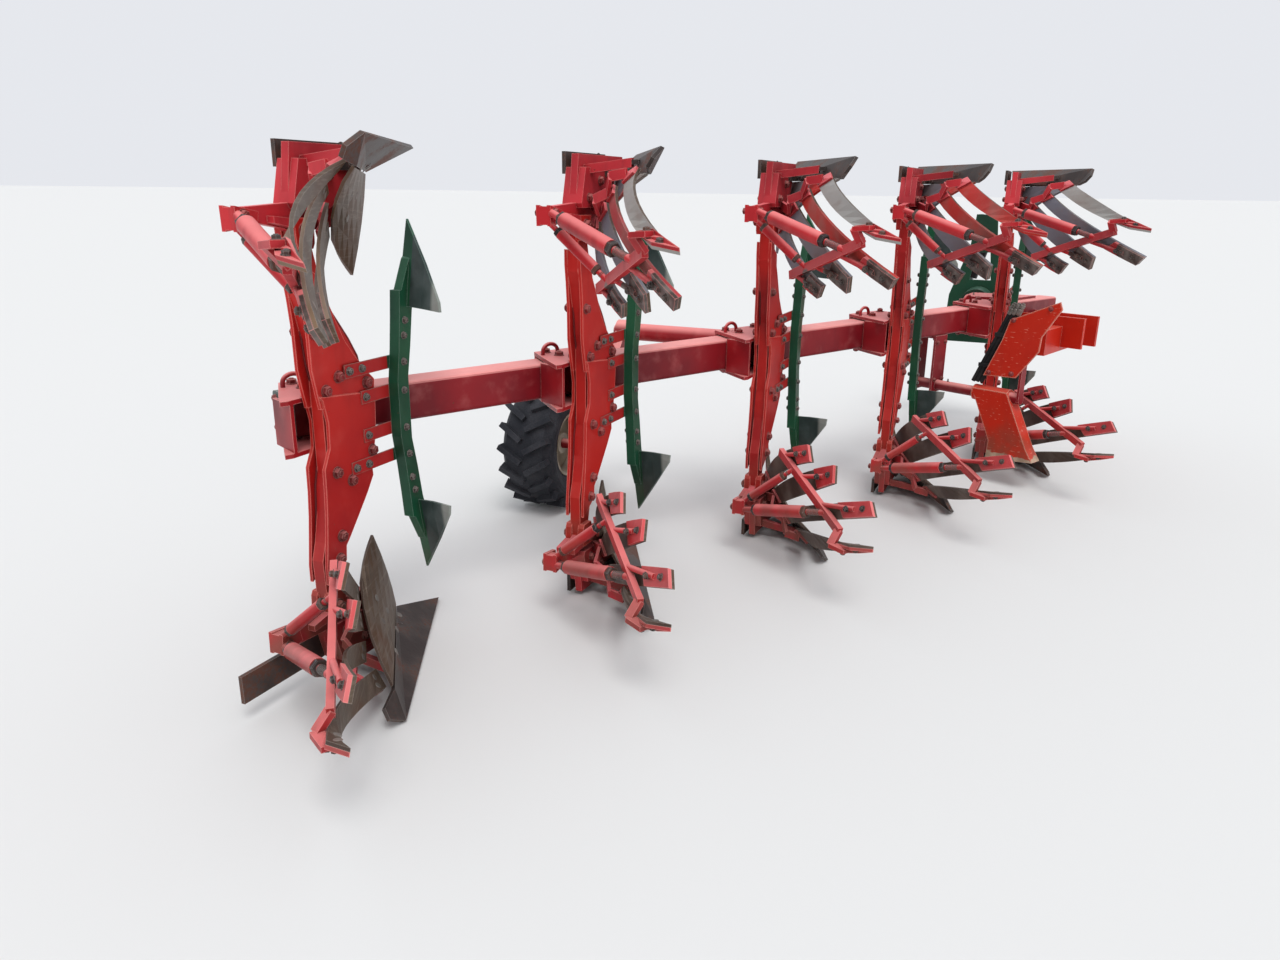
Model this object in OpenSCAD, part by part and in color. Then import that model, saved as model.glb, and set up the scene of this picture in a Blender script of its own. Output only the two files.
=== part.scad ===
// Mounted reversible plough with five slatted bodies.
// X points forward, Y to the left, Z up. The lower bodies stand on the ground at Z = 0,
// and the upper bodies mirror them through the beam's middle height.

/* [Layout] */
// Number of plough bodies
bodies_n = 5; // [2:1:5]
// Distance between two bodies, along the beam
body_pitch = 1050; // [1000:10:1200]
// Angle of the beam to the direction of travel
beam_angle = 25; // [20:1:28]
// Height of the beam's middle above the ground
mid_h = 872; // [840:4:920]

/* [Beam] */
// Side of the square beam
beam_w = 140; // [120:5:150]
// Wall of the beam
beam_wall = 10; // [6:1:20]
// Outer corner radius of the beam
beam_r = 16; // [12:1:30]
// Length of beam behind the rear leg
beam_rear = 150; // [130:5:300]
// Length of beam ahead of the front leg
beam_front = 900; // [800:10:920]
// Gap between the leg's middle plane and the beam's right face, square to the beam
beam_offset = 90; // [84:1:110]

/* [Legs] */
// Thickness of one cheek plate
cheek_t = 12; // [8:1:16]
// Thickness over both cheek plates
leg_w = 80; // [70:1:90]
// Thickness of a clamp plate
clamp_t = 15; // [10:1:20]
// Height over both clamp plates
clamp_h = 184; // [180:2:220]

/* [Bodies] */
// Thickness of a slat
slat_t = 10; // [6:1:12]
// Thickness of the share
share_t = 14; // [10:1:16]
// Width of the frog
frog_box_w = 80; // [70:1:84]
// Side of the slat carrier bar
bar_w = 36; // [30:1:44]
// Diameter of the long adjusting sleeve
sleeve_d = 54; // [44:1:58]
// Diameter of the short adjusting sleeve
short_sleeve_d = 38; // [32:1:44]
// Diameter of the adjusting rods
rod_d = 26; // [20:1:30]
// Diameter of the pins that carry the slats
slat_pin_d = 20; // [16:1:24]

/* [Skimmers] */
// Width of the skimmer stalk, across the travel
stalk_w = 40; // [30:1:46]
// Depth of the skimmer stalk, along the travel
stalk_d = 58; // [50:1:66]
// Distance of the stalk's middle ahead of the leg's middle
stalk_x = 179; // [170:1:200]

/* [Depth wheel] */
// Diameter of the tyre
tyre_d = 660; // [640:10:700]
// Width of the tyre
tyre_w = 285; // [250:5:300]
// Height of the tyre's lugs
lug_h = 22; // [12:1:28]
// Lugs on each side of the tyre
lugs_n = 18; // [14:1:22]
// Diameter of the rim
rim_d = 330; // [300:5:360]
// Distance of the arm's pivot ahead of the wheel
arm_trail = 450; // [400:10:500]

/* [Headstock] */
// Outer diameter of the turnover bearing tube
turn_d = 170; // [150:5:190]
// Diameter of the turnover shaft
shaft_d = 120; // [90:5:130]
// Distance of the headstock ahead of the front leg
head_x = 950; // [940:10:1100]
// Distance of the turnover shaft to the left of the front leg
head_y = 210; // [190:5:260]
// Height of the upper top link hole above the turnover shaft
tower_h = 540; // [520:10:600]
// Diameter of the top link holes
top_hole_d = 32; // [20:1:34]
// Distance between the shoulders of the lower link pins
link_span = 870; // [800:5:900]
// Diameter of the lower link pins
link_pin_d = 36; // [28:1:38]
// Length of one lower link pin
link_pin_l = 110; // [90:5:120]
// Distance of the cross shaft below the turnover shaft
link_drop = 220; // [210:5:280]

/* [Hidden] */

red = [0.72, 0.17, 0.15];
dark_red = [0.45, 0.13, 0.15];
green = [0.12, 0.30, 0.20];
steel = [0.48, 0.47, 0.44];
share_grey = [0.32, 0.29, 0.30];
black = [0.10, 0.10, 0.11];

// Place of each leg: x forward, y left, from the rear leg
step_x = body_pitch * cos(beam_angle);
step_y = -body_pitch * sin(beam_angle);
// The whole model is shifted so that its box is centred on the origin
shift_x = -2012;
shift_y = 1045;
function leg_x(i) = shift_x + i * step_x;
function leg_y(i) = shift_y + i * step_y;
last = bodies_n - 1;

gap = 0.3;
big = 4000;
smooth = 48;

// Beam frame: u runs along the beam from the leg, v to the left of it
beam_v = beam_offset + beam_w / 2;

// Helpers

// Moves children to the leg numbered i, at the beam's middle height
module at_leg(i) {
    translate([leg_x(i), leg_y(i), mid_h]) children();
}

// Turns children from the beam's frame into the leg's frame
module along_beam() {
    rotate([0, 0, -beam_angle]) children();
}

// Draws children for the lower body and again, mirrored, for the upper body
module both_bodies() {
    children();
    mirror([0, 0, 1]) children();
}

// Corner points of a rectangle with rounded corners, centred on the origin
function round_rect(w, h, r, n = 4) = [
    for (c = [[1, 1, 0], [-1, 1, 90], [-1, -1, 180], [1, -1, 270]])
        for (k = [0:n])
            let (a = c[2] + 90 * k / n)
            [c[0] * (w / 2 - r) + r * cos(a), c[1] * (h / 2 - r) + r * sin(a)]];

// A round bar between two points
module rod(a, b, d) {
    v = b - a;
    len = norm(v);
    translate(a)
        rotate([0, acos(v[2] / len), atan2(v[1], v[0])])
            cylinder(d = d, h = len, $fn = smooth);
}

// A square bar between two points, its side faces turned by roll
module bar(a, b, w, h, roll = 0) {
    v = b - a;
    len = norm(v);
    translate(a)
        rotate([0, acos(v[2] / len), atan2(v[1], v[0])])
            rotate([0, 0, roll])
                translate([-w / 2, -h / 2, 0])
                    cube([w, h, len]);
}

// A plate in the X-Z plane between two values of y, from points [x, z]
module side_plate(points, y0, y1) {
    translate([0, y1, 0])
        rotate([90, 0, 0])
            linear_extrude(y1 - y0) polygon(points);
}

// Closed solid between two grids of points with the same rows and columns
function grid_faces(rows, cols) =
    let (n = rows * cols)
    concat(
        [for (r = [0:rows - 2], c = [0:cols - 2])
            each [[r * cols + c, (r + 1) * cols + c, r * cols + c + 1],
                  [r * cols + c + 1, (r + 1) * cols + c, (r + 1) * cols + c + 1]]],
        [for (r = [0:rows - 2], c = [0:cols - 2])
            each [[n + r * cols + c, n + r * cols + c + 1, n + (r + 1) * cols + c],
                  [n + r * cols + c + 1, n + (r + 1) * cols + c + 1, n + (r + 1) * cols + c]]],
        [for (r = [0:rows - 2])
            each [[r * cols, n + r * cols, (r + 1) * cols],
                  [(r + 1) * cols, n + r * cols, n + (r + 1) * cols]]],
        [for (r = [0:rows - 2])
            each [[r * cols + cols - 1, (r + 1) * cols + cols - 1, n + r * cols + cols - 1],
                  [(r + 1) * cols + cols - 1, n + (r + 1) * cols + cols - 1, n + r * cols + cols - 1]]],
        [for (c = [0:cols - 2])
            each [[c, c + 1, n + c], [c + 1, n + c + 1, n + c]]],
        [for (c = [0:cols - 2])
            let (a = (rows - 1) * cols + c)
            each [[a, n + a, a + 1], [a + 1, n + a, n + a + 1]]]);

// Beam

module beam() {
    length = beam_rear + last * body_pitch + beam_front;
    color(dark_red)
        at_leg(0) along_beam()
            translate([-beam_rear, beam_v, 0])
                rotate([90, 0, 90])
                    linear_extrude(length)
                        difference() {
                            polygon(round_rect(beam_w, beam_w, beam_r));
                            polygon(round_rect(beam_w - 2 * beam_wall, beam_w - 2 * beam_wall,
                                               beam_r - beam_wall));
                        }
}

// Grey-green cover plate with a lip on the beam's rear end
module beam_end_plate() {
    cover = 14;
    proud = 8;
    color([0.30, 0.38, 0.36])
        at_leg(0) along_beam()
            translate([-beam_rear - cover, beam_v, 0])
                rotate([90, 0, 90])
                    linear_extrude(cover)
                        polygon(round_rect(beam_w + proud, beam_w + proud, beam_r));
}

// Clamps

// Corners of a clamp plate over the beam, as [along the beam, left of the leg]
clamp_plan = [[-250, -60], [-219, 30], [-137, beam_offset + beam_w + 16],
              [130, beam_offset + beam_w + 16], [130, -60]];

// Two plates over and under the beam, joined by a far side plate and two webs, which end
// flush on the leg's left cheek
module clamp(i) {
    web_t = 14;
    far_v = beam_offset + beam_w + gap;
    near_v = clamp_plan[0][1];
    rear_u = clamp_plan[1][0];
    far_rear_u = clamp_plan[2][0];
    front_u = clamp_plan[3][0];
    plate_z = clamp_h / 2 - clamp_t;
    pack_h = plate_z - beam_w / 2 - gap;
    color(red)
        at_leg(i)
            intersection() {
                translate([-big / 2, leg_w / 2, -big / 2]) cube(big);
                along_beam() {
                    for (s = [-1, 1])
                        translate([0, 0, s * (plate_z + clamp_t / 2) - clamp_t / 2])
                            linear_extrude(clamp_t) polygon(clamp_plan);
                    // Packers between the plates and the beam
                    for (s = [-1, 1])
                        for (u = [far_rear_u + 10, front_u - 60])
                            translate([u, beam_offset + 10, s > 0 ? beam_w / 2 + gap : -plate_z])
                                cube([40, beam_w - 20, pack_h]);
                    // Far side plate
                    translate([far_rear_u, far_v, -plate_z])
                        cube([front_u - far_rear_u, web_t, 2 * plate_z]);
                    // Rear web and front web on the near side
                    for (u = [rear_u, front_u - web_t])
                        translate([u, near_v, -plate_z])
                            cube([web_t, beam_offset - 4 - near_v, 2 * plate_z]);
                }
            }
}

// Legs

// Depth of the leg's end and of the slot over the frog, from the beam's middle
shank_end = mid_h - 272;
slot_top = mid_h - 232;
slot_end = mid_h - 207;
// Thickness of the frog's upright plate
frog_w = 28;
// Half width of the shank, and step of the upper cheeks inwards
shank_half = 22;
cheek_step = 6;

// Outline of a lower cheek plate, as [x, z]
lower_cheek = [[-177, 101], [-164, 88], [-147, 15], [-150, -71], [-181, -134], [-183, -217],
               [-189, -297], [-201, -398], [-209, -461], [-209, -518], [-118, -461],
               [-113, -411], [-89, -384], [-40, -323], [9, -261], [45, -208], [43, -182],
               [73, -67], [83, 62], [80, 74]];
// Outline of an upper cheek plate, as [x, z]
upper_cheek = [[-168, 60], [-177, 101], [-193, 186], [-194, 313], [-201, 398], [-209, 461],
               [-209, 518], [-118, 461], [-113, 411], [-89, 368], [-38, 262], [3, 208],
               [68, 137], [91, 116], [86, 60]];
// Outline of the filling between two cheek plates, as [x, z]
cheek_core = [[-130, 0], [-134, -90], [-160, -200], [-172, -330], [-170, -440], [-124, -440],
              [-96, -384], [-6, -261], [30, -200], [56, -90], [66, 0]];
// Outline of the shank, as [x, z]
shank_outline = [[-150, 0], [-150, -200], [-190, -380], [-209, -440], [-206, -518],
                 [-204, -shank_end], [-146, -shank_end], [-112, -461], [-100, -384], [0, -240], [0, 0]];

function flip_z(points) = [for (k = [len(points) - 1:-1:0]) [points[k][0], -points[k][1]]];

module leg(i) {
    half = leg_w / 2;
    upper_half = half - cheek_step;
    color(red)
        at_leg(i) {
            for (y = [-half, half - cheek_t])
                side_plate(lower_cheek, y, y + cheek_t);
            for (y = [-upper_half, upper_half - cheek_t])
                side_plate(upper_cheek, y, y + cheek_t);
            side_plate(cheek_core, -half + cheek_t, half - cheek_t);
            side_plate(flip_z(cheek_core), -upper_half + cheek_t, upper_half - cheek_t);
            both_bodies() {
                side_plate(shank_outline, -shank_half, shank_half);
                // Boss plates on both sides of the frog
                for (y = [-half, frog_w / 2 + gap])
                    side_plate([[-216, -slot_top], [-212, -shank_end + 34], [-204, -shank_end + 50],
                                [-146, -shank_end + 50], [-138, -shank_end + 34], [-134, -slot_top]],
                               y, y + half - frog_w / 2 - gap);
            }
        }
}

// Bodies

// Height of a point above the ground becomes a height from the beam's middle
function low(p) = [p[0], p[1], p[2] - mid_h];

function bez(p, t) = (1 - t) * (1 - t) * p[0] + 2 * t * (1 - t) * p[1] + t * t * p[2];
function unit(p) = p / norm(p);

// Control net of the breast plate, rows from its lower to its upper edge: front, middle, tail,
// each as [forward, left, height above the ground]
breast_net = [
    [[200, 30, 104], [-40, -150, 98], [-280, -330, 95]],
    [[170, 25, 250], [0, -60, 200], [-170, -150, 170]],
    [[90, 20, 420], [20, 5, 370], [-55, -28, 300]]];

function breast_point(s, v) = bez([for (row = breast_net) bez(row, s)], v);
function breast_normal(s, v) =
    let (e = 0.01)
    unit(cross(breast_point(s + e, v) - breast_point(s - e, v),
               breast_point(s, v + e) - breast_point(s, v - e)));

// A plate along the breast between two values of s and v, and two depths behind its face
module breast_plate(s0, s1, v0, v1, depth0, depth1, steps, across) {
    function corner(k, j, depth) =
        let (s = s0 + (s1 - s0) * k / steps, v = v0 + (v1 - v0) * j / across)
        low(breast_point(s, v) + depth * breast_normal(s, v));
    polyhedron([for (depth = [depth0, depth1], k = [0:steps], j = [0:across]) corner(k, j, depth)],
               grid_faces(steps + 1, across + 1));
}

// Slats from the lowest: lower edge and upper edge, each as front, middle and tail, then the
// place of the slat's pin on the carrier bar, and where the slat's pad begins
slats = [
    [[[-274, -298, 79], [-708, -427, 170], [-874, -687, 314]],
     [[-236, -229, 109], [-588, -376, 227], [-857, -594, 301]], 0.98, 0.8],
    [[[-248, -203, 132], [-561, -330, 259], [-859, -689, 426]],
     [[-177, -144, 162], [-458, -265, 293], [-805, -663, 467]], 0.68, 0.8],
    [[[-160, -125, 190], [-410, -270, 318], [-580, -470, 452]],
     [[-110, -75, 225], [-310, -190, 388], [-540, -460, 517]], 0.34, 0.8],
    [[[-100, -65, 245], [-300, -160, 420], [-475, -345, 500]],
     [[-60, -30, 290], [-215, -90, 470], [-410, -315, 555]], 0.05, 0.8]];
LOWER_EDGE = 0;
UPPER_EDGE = 1;
PIN_PLACE = 2;
PAD_START = 3;

function slat_point(slat, s, v) = (1 - v) * bez(slat[LOWER_EDGE], s) + v * bez(slat[UPPER_EDGE], s);
function slat_normal(slat, s) =
    let (e = 0.01)
    unit(cross(slat_point(slat, s + e, 0.5) - slat_point(slat, s - e, 0.5),
               slat_point(slat, s, 1) - slat_point(slat, s, 0)));

// A point behind a slat
function pad_back(slat, s, v, depth) = low(slat_point(slat, s, v) + depth * slat_normal(slat, s));

// A plate along a slat between two values of s and v, and two depths behind its face
module slat_plate(slat, s0, s1, v0, v1, depth0, depth1, steps) {
    function corner(k, v, depth) =
        let (s = s0 + (s1 - s0) * k / steps)
        low(slat_point(slat, s, v) + depth * slat_normal(slat, s));
    polyhedron([for (depth = [depth0, depth1], k = [0:steps], v = [v0, v1]) corner(k, v, depth)],
               grid_faces(steps + 1, 2));
}

// Steps along a slat, and along and across the breast
slat_steps = 10;
breast_steps = 5;
breast_across = 4;

module moldboards(i) {
    color(steel)
        at_leg(i)
            both_bodies() {
                breast_plate(0, 1, 0, 1, 0, slat_t, breast_steps, breast_across);
                for (slat = slats)
                    slat_plate(slat, 0, 1, 0, 1, 0, slat_t, slat_steps);
            }
}

// Share: lower edge and upper edge, each from the point to the heel, as [forward, left, height]
share_low = [[490, 50, share_t - 2.5], [-320, -405, share_t - 4.5], [-385, -398, 46]];
share_high = [[200, 28, 98], [-290, -345, 92], [-378, -375, 76]];

// A plate along the share, between two depths behind its face
module share_plate(low_edge, high_edge, depth0, depth1) {
    n = len(low_edge) - 1;
    function along(k) = low_edge[min(k + 1, n)] - low_edge[max(k - 1, 0)];
    function normal(k) = unit(cross(along(k), high_edge[k] - low_edge[k]));
    polyhedron([for (depth = [depth0, depth1], k = [0:n], edge = [low_edge, high_edge])
                    low(edge[k] + depth * normal(k))],
               grid_faces(n + 1, 2));
}

module shares(i) {
    half = frog_box_w / 2 + gap;
    color(share_grey)
        at_leg(i) {
            both_bodies() {
                share_plate(share_low, share_high, 0, share_t);
                // Lugs under the share, on the frog's right face and on the end of its arm
                side_plate([[-20, 72 - mid_h], [120, 66 - mid_h], [130, 73 - mid_h], [94, 92 - mid_h],
                            [-20, 96 - mid_h]], -half - 12, -half);
                translate([share_arm_x - 8, share_arm_y - gap - 27, 40 - mid_h]) cube([16, 27, 16]);
                if (i > 0) landside([-180, 150], [12, 90], half);
            }
            // The rear body alone has the long landside
            if (i == 0) {
                mirror([0, 0, 1]) landside([-180, 150], [12, 90], half);
                landside([-530, 150], [67, 160], half);
            }
        }
}

// A plate along the furrow wall, on the frog's left face
module landside(x, h, y) {
    side_plate([[x[0], h[0] - mid_h], [x[1], h[0] - mid_h], [x[1], h[1] - mid_h], [x[0], h[1] - mid_h]],
               y, y + 14);
}

// Ends of the slat carrier bar, and the stay anchor behind the frog, as [forward, left, height]
bar_top = [-300, -152, 482];
bar_end = [-772, -535, 314];
anchor = [-400, -13, 218];
ear_end = anchor[0] + 28;
// Place of the arm that carries the share's wing, and its outer end
share_arm_x = -131;
share_arm_y = -204;

// Frog: the casting between the leg, the share and the slats
module frog(i) {
    pad_t = 10;
    back = slat_t + gap;
    strip = back + pad_t + 5;
    front_s = 0.06;
    bulge = 34;
    function strip_point(k) = pad_back(slats[k], front_s, 0.5, strip);
    function strip_mid(k) =
        (strip_point(k) + strip_point(k + 1)) / 2 + bulge * slat_normal(slats[k], front_s);
    color(red)
        at_leg(i)
            both_bodies() {
                // Upright plate with the ear for the stays
                side_plate([[-204, -shank_end], [-146, -shank_end], [-10, 262 - mid_h], [58, 250 - mid_h],
                            [87, 190 - mid_h], [112, 130 - mid_h], [124, 100 - mid_h], [130, 74 - mid_h],
                            [158, 67 - mid_h], [198, 54 - mid_h], [190, 20 - mid_h], [-180, 20 - mid_h],
                            [-204, 190 - mid_h], [ear_end, anchor[2] - 18 - mid_h],
                            [ear_end, anchor[2] + 20 - mid_h], [-230, 262 - mid_h]],
                           -frog_w / 2, frog_w / 2);
                // Cast box
                side_plate([[-208, 191 - mid_h], [-175, 66 - mid_h], [60, 66 - mid_h],
                            [30, 150 - mid_h], [-60, -slot_end], [-200, -slot_end]],
                           -frog_box_w / 2, frog_box_w / 2);
                // Ear thickened towards the stays
                side_plate([[-217, 260 - mid_h], [-292, 245 - mid_h], [-292, 225 - mid_h], [-217, 233 - mid_h]],
                           -frog_box_w / 2, frog_box_w / 2);
                // Arm that carries the share's wing
                translate([share_arm_x - 11, 0, 0])
                    rotate([90, 0, 90])
                        linear_extrude(22)
                            polygon([[-10, 90 - mid_h], [share_arm_y, 66 - mid_h],
                                     [share_arm_y, 34 - mid_h], [-10, 58 - mid_h]]);
                // Strip behind the slats' front ends, with its pads
                for (k = [0:len(slats) - 3]) {
                    bar(strip_point(k), strip_mid(k), 34, 12);
                    bar(strip_mid(k), strip_point(k + 1), 34, 12);
                }
                bar(strip_point(2), low([-70, -8, 190]), 36, 14);
                bar(strip_point(3), low([-40, -8, 240]), 30, 14);
                for (slat = slats)
                    slat_plate(slat, 0, 1 / slat_steps, 0, 1, back, back + pad_t, 1);
                breast_plate(0, 2 / breast_steps, 0.25, 0.75, back, back + 8, 2, 2);
            }
}

// Stays

function on_bar(f) = bar_top + f * (bar_end - bar_top);

module stays(i) {
    sleeve_at = 0.78;
    short_at = 0.24;
    pad_t = 12;
    fork_t = 14;
    back = slat_t + gap;
    fork_y = frog_w / 2 + gap;
    a = low(anchor);
    b = a + [-6, 0, 34];
    s_end = low(on_bar(sleeve_at));
    t_end = low(on_bar(short_at));
    color(red)
        at_leg(i)
            both_bodies() {
                bar(low(bar_top), low(bar_end), bar_w, bar_w * 0.6);
                rod(a, s_end, rod_d);
                rod(a + 0.2 * (s_end - a), a + 0.76 * (s_end - a), sleeve_d);
                rod(b, t_end, slat_pin_d);
                rod(b + 0.2 * (t_end - b), b + 0.78 * (t_end - b), short_sleeve_d);
                // Fork plates on both sides of the frog's ear
                for (y = [-fork_y - fork_t, fork_y])
                    side_plate([[-420, a[2] - 22], [-418, b[2] + 14], [-345, a[2] + 40], [-335, a[2] - 6]],
                               y, y + fork_t);
                // Block between the fork plates, behind the ear
                side_plate([[-420, a[2] - 18], [-418, b[2] + 10], [ear_end - gap, a[2] + 40],
                            [ear_end - gap, a[2] - 14]], -fork_y - 1, fork_y + 1);
                // Pins from the bar to the slats' tails, each with its pad
                for (slat = slats)
                    slat_plate(slat, slat[PAD_START], 1, 0, 1, back, back + pad_t,
                               round((1 - slat[PAD_START]) * slat_steps));
                for (slat = [slats[1], slats[2], slats[3]]) {
                    s = (1 + slat[PAD_START]) / 2;
                    rod(low(on_bar(slat[PIN_PLACE])), pad_back(slat, s, 0.5, back + pad_t), slat_pin_d);
                }
                // Hook from the bar's end round the lowest slat's upper edge
                hook_top = pad_back(slats[0], 0.9, 1.42, 24);
                hook_end = pad_back(slats[0], 0.9, 0.6, back + pad_t + 10);
                bar(low(on_bar(slats[0][PIN_PLACE])), hook_top, 18, 34);
                bar(hook_top, hook_end, 18, 34);
            }
}

// Skimmers

// Edges of the lower half of the stalk, as [x, z], from the beam's middle
stalk_rear = [[stalk_x - stalk_d / 2, 0], [stalk_x - stalk_d / 2, -95], [stalk_x - 12, -200],
              [stalk_x, -300], [stalk_x + 10, -400]];
stalk_front = [[stalk_x + 88, -400], [stalk_x + 70, -330], [stalk_x + 50, -210],
               [stalk_x + stalk_d / 2, -110], [stalk_x + stalk_d / 2, 0]];
// Edges of the skimmer's blade, each from the shin to the wing, as [x, y, z]
blade_low = [[stalk_x + 110, -62, -628], [stalk_x + 66, -160, -486], [stalk_x + 20, -240, -368]];
blade_high = [[stalk_x + 56, -48, -346], [stalk_x + 44, -150, -340], [stalk_x + 18, -244, -336]];

module skimmers(i) {
    strap_t = 5;
    strap_h = 44;
    y1 = -leg_w / 2 - strap_t;
    blade_t = 8;
    color(green)
        at_leg(i)
            both_bodies() {
                side_plate(concat(stalk_rear, stalk_front), y1 - stalk_w, y1);
                // Straps between the stalk and the leg's cheek
                for (strap = [[10, -65], [-60, -162]])
                    translate([strap[0], y1, strap[1] - strap_h / 2])
                        cube([stalk_x + stalk_d / 2 - strap[0], strap_t, strap_h]);
                // Bracket behind the blade
                side_plate([[stalk_x + 20, -400], [stalk_x + 80, -400], [stalk_x + 96, -520],
                            [stalk_x + 70, -500]], y1 - stalk_w, y1 - 8);
                polyhedron([for (x = [0, -blade_t], k = [0:2], edge = [blade_low, blade_high])
                                edge[k] + [x, -x * 0.4, 0]],
                           grid_faces(3, 2));
            }
}

// Depth wheel

arm_x = leg_x(2) + 330;
wheel_x = arm_x - arm_trail;
wheel_y = leg_y(1) + 675;
wheel_z = tyre_d / 2 + 6;
arm_y = wheel_y - tyre_w / 2 - 60;
pivot_d = 70;

// Left face of the beam at a place x of the row frame
function beam_left(x) =
    let (dx = x - leg_x(0))
    leg_y(0) + (beam_v + beam_w / 2) / cos(beam_angle) - dx * tan(beam_angle);

module wheel_bracket() {
    plate = 16;
    foot = 190;
    tube_d = 90;
    face_v = beam_v + beam_w / 2 + gap;
    foot_u = (arm_x - leg_x(2) - face_v * sin(beam_angle)) / cos(beam_angle);
    color(red) {
        // Cross tube from the beam to the arm's pivot, cut off in the foot plate
        intersection() {
            translate([arm_x, arm_y - 40, mid_h])
                rotate([90, 0, 0])
                    cylinder(d = tube_d, h = big / 2, $fn = smooth);
            at_leg(2) along_beam()
                translate([-big / 2, face_v + plate / 2, -big / 2]) cube(big);
        }
        at_leg(2) along_beam()
            translate([foot_u - foot / 2, face_v, -foot / 2]) cube([foot, plate, foot]);
        // Pivot stub
        translate([arm_x, arm_y + 52, mid_h])
            rotate([90, 0, 0])
                cylinder(d = pivot_d - 2 * gap, h = 104, $fn = smooth);
    }
}

module wheel_arm() {
    hub_d = 120;
    color(dark_red)
        difference() {
            union() {
                translate([arm_x, arm_y + 35, mid_h])
                    rotate([90, 0, 0]) cylinder(d = hub_d, h = 70, $fn = smooth);
                bar([arm_x, arm_y, mid_h], [wheel_x, arm_y, wheel_z], 100, 60);
                translate([wheel_x, arm_y + 35, wheel_z])
                    rotate([90, 0, 0]) cylinder(d = 100, h = 70, $fn = smooth);
                translate([wheel_x, wheel_y + 60, wheel_z])
                    rotate([90, 0, 0]) cylinder(d = 50, h = wheel_y + 60 - arm_y, $fn = smooth);
            }
            translate([arm_x, arm_y + 50, mid_h])
                rotate([90, 0, 0]) cylinder(d = pivot_d, h = 100, $fn = smooth);
        }
}

module wheel_rim() {
    half = tyre_w / 2 - 35;
    r = rim_d / 2;
    color([0.62, 0.60, 0.55])
        translate([wheel_x, wheel_y, wheel_z])
            rotate([90, 0, 0])
                rotate_extrude($fn = 72)
                    polygon([[r - 12, -half], [r, -half], [r, half], [r - 12, half], [r - 12, 22],
                             [55, 22], [55, 60], [25 + gap, 60], [25 + gap, -60], [55, -60],
                             [55, 6], [r - 12, 6]]);
}

module tyre() {
    half = tyre_w / 2;
    ro = tyre_d / 2 - lug_h;
    ri = rim_d / 2 + gap;
    bead = half - 45;
    color(black)
        translate([wheel_x, wheel_y, wheel_z])
            rotate([90, 0, 0]) {
                rotate_extrude($fn = 72)
                    polygon([[ri, -bead], [ri + 20, -half + 18], [ri + 75, -half],
                             [ro - 40, -half + 6], [ro - 6, -half + 40], [ro, 0], [ro - 6, half - 40],
                             [ro - 40, half - 6], [ri + 75, half], [ri + 20, half - 18], [ri, bead]]);
                for (side = [-1, 1], k = [0:lugs_n - 1])
                    rotate([0, 0, 360 / lugs_n * (k + (side + 1) / 4)])
                        lug(side, ro, half);
            }
}

// One tyre lug: a slanted bar from the shoulder to near the middle
module lug(side, ro, half) {
    thick = 27;
    sink = 24;
    skew = 72;
    inner = 10;
    outer = half - 10;
    tall = lug_h + sink;
    long = norm([outer - inner, skew]);
    translate([ro - sink + tall / 2, 0, side * (inner + outer) / 2])
        rotate([side * atan2(skew, outer - inner), 0, 0])
            cube([tall, thick, long], center = true);
}

// Headstock

axis_y = leg_y(last) + head_y;
front_x = leg_x(last) + head_x;
housing_x = leg_x(last) + 430;
bearing_l = 230;

// Crank pin place on the housing and the cylinder's pivot on the tower
crank_r = 115;
ram_pivot_z = 395;
eye_w = 30;
rod_eye_d = 62;
ram_pin_d = 30;
ram_d = 80;
ram_rod_d = 40;
head_t = 20;
crank_t = 20;
crank_x = front_x + head_t + 5;
ram_x = crank_x + crank_t + ram_rod_d / 2 + 6;
ram_len = norm([crank_r, ram_pivot_z]);
ram_tilt = atan2(crank_r, ram_pivot_z);

// Frame at the beam's front end: two gusset plates and the turnover shaft, with its crank
module turning_frame() {
    plate = 16;
    collar_end = front_x - bearing_l - 5;
    overlap = 40;
    tail_x = collar_end - 15;
    color(red) {
        translate([housing_x, axis_y, mid_h])
            rotate([0, 90, 0]) {
                cylinder(d = turn_d, h = collar_end - housing_x, $fn = 64);
                cylinder(d = shaft_d, h = crank_x + crank_t - housing_x, $fn = 64);
            }
        // Gusset plates over and under, on the beam's top and bottom
        for (s = [-1, 1])
            translate([0, 0, mid_h + s * (beam_w / 2 + plate / 2) - plate / 2])
                linear_extrude(plate)
                    polygon([[housing_x, axis_y - 20], [tail_x, axis_y - 20],
                             [tail_x, beam_left(tail_x) - beam_w + overlap],
                             [housing_x, beam_left(housing_x) - beam_w + overlap]]);
        // Crank on the shaft's front end, for the cylinder
        translate([crank_x, axis_y, mid_h])
            rotate([0, 90, 0])
                difference() {
                    union() {
                        translate([-32, 0, 0]) cube([64, crank_r, crank_t]);
                        translate([0, crank_r, 0]) cylinder(d = 64, h = crank_t, $fn = smooth);
                    }
                    translate([0, crank_r, -1]) cylinder(d = ram_pin_d, h = crank_t + 2, $fn = smooth);
                }
    }
}

// Box arm on the furrow side of the beam
module side_arm() {
    rear = [leg_x(last) + 60, leg_y(last) - 225];
    front = [leg_x(last) + 710, leg_y(last) - 430];
    z0 = mid_h - 215;
    h = 155;
    w = 110;
    v = front - rear;
    color(red) {
        translate([rear[0], rear[1], z0])
            rotate([0, 0, atan2(v[1], v[0])])
                translate([0, -w / 2, 0]) cube([norm(v), w, h]);
        // Saddle plates from the arm to the beam's right face
        at_leg(last) along_beam()
            for (u = [430, 620])
                translate([u, -330, -190]) cube([20, beam_offset + 330, 190]);
    }
}

stand_u = -480;
stand_z = -365;
arm_d = 60;

guard_t = 8;
guard_u = stand_u - arm_d / 2 - guard_t - gap;

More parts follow.
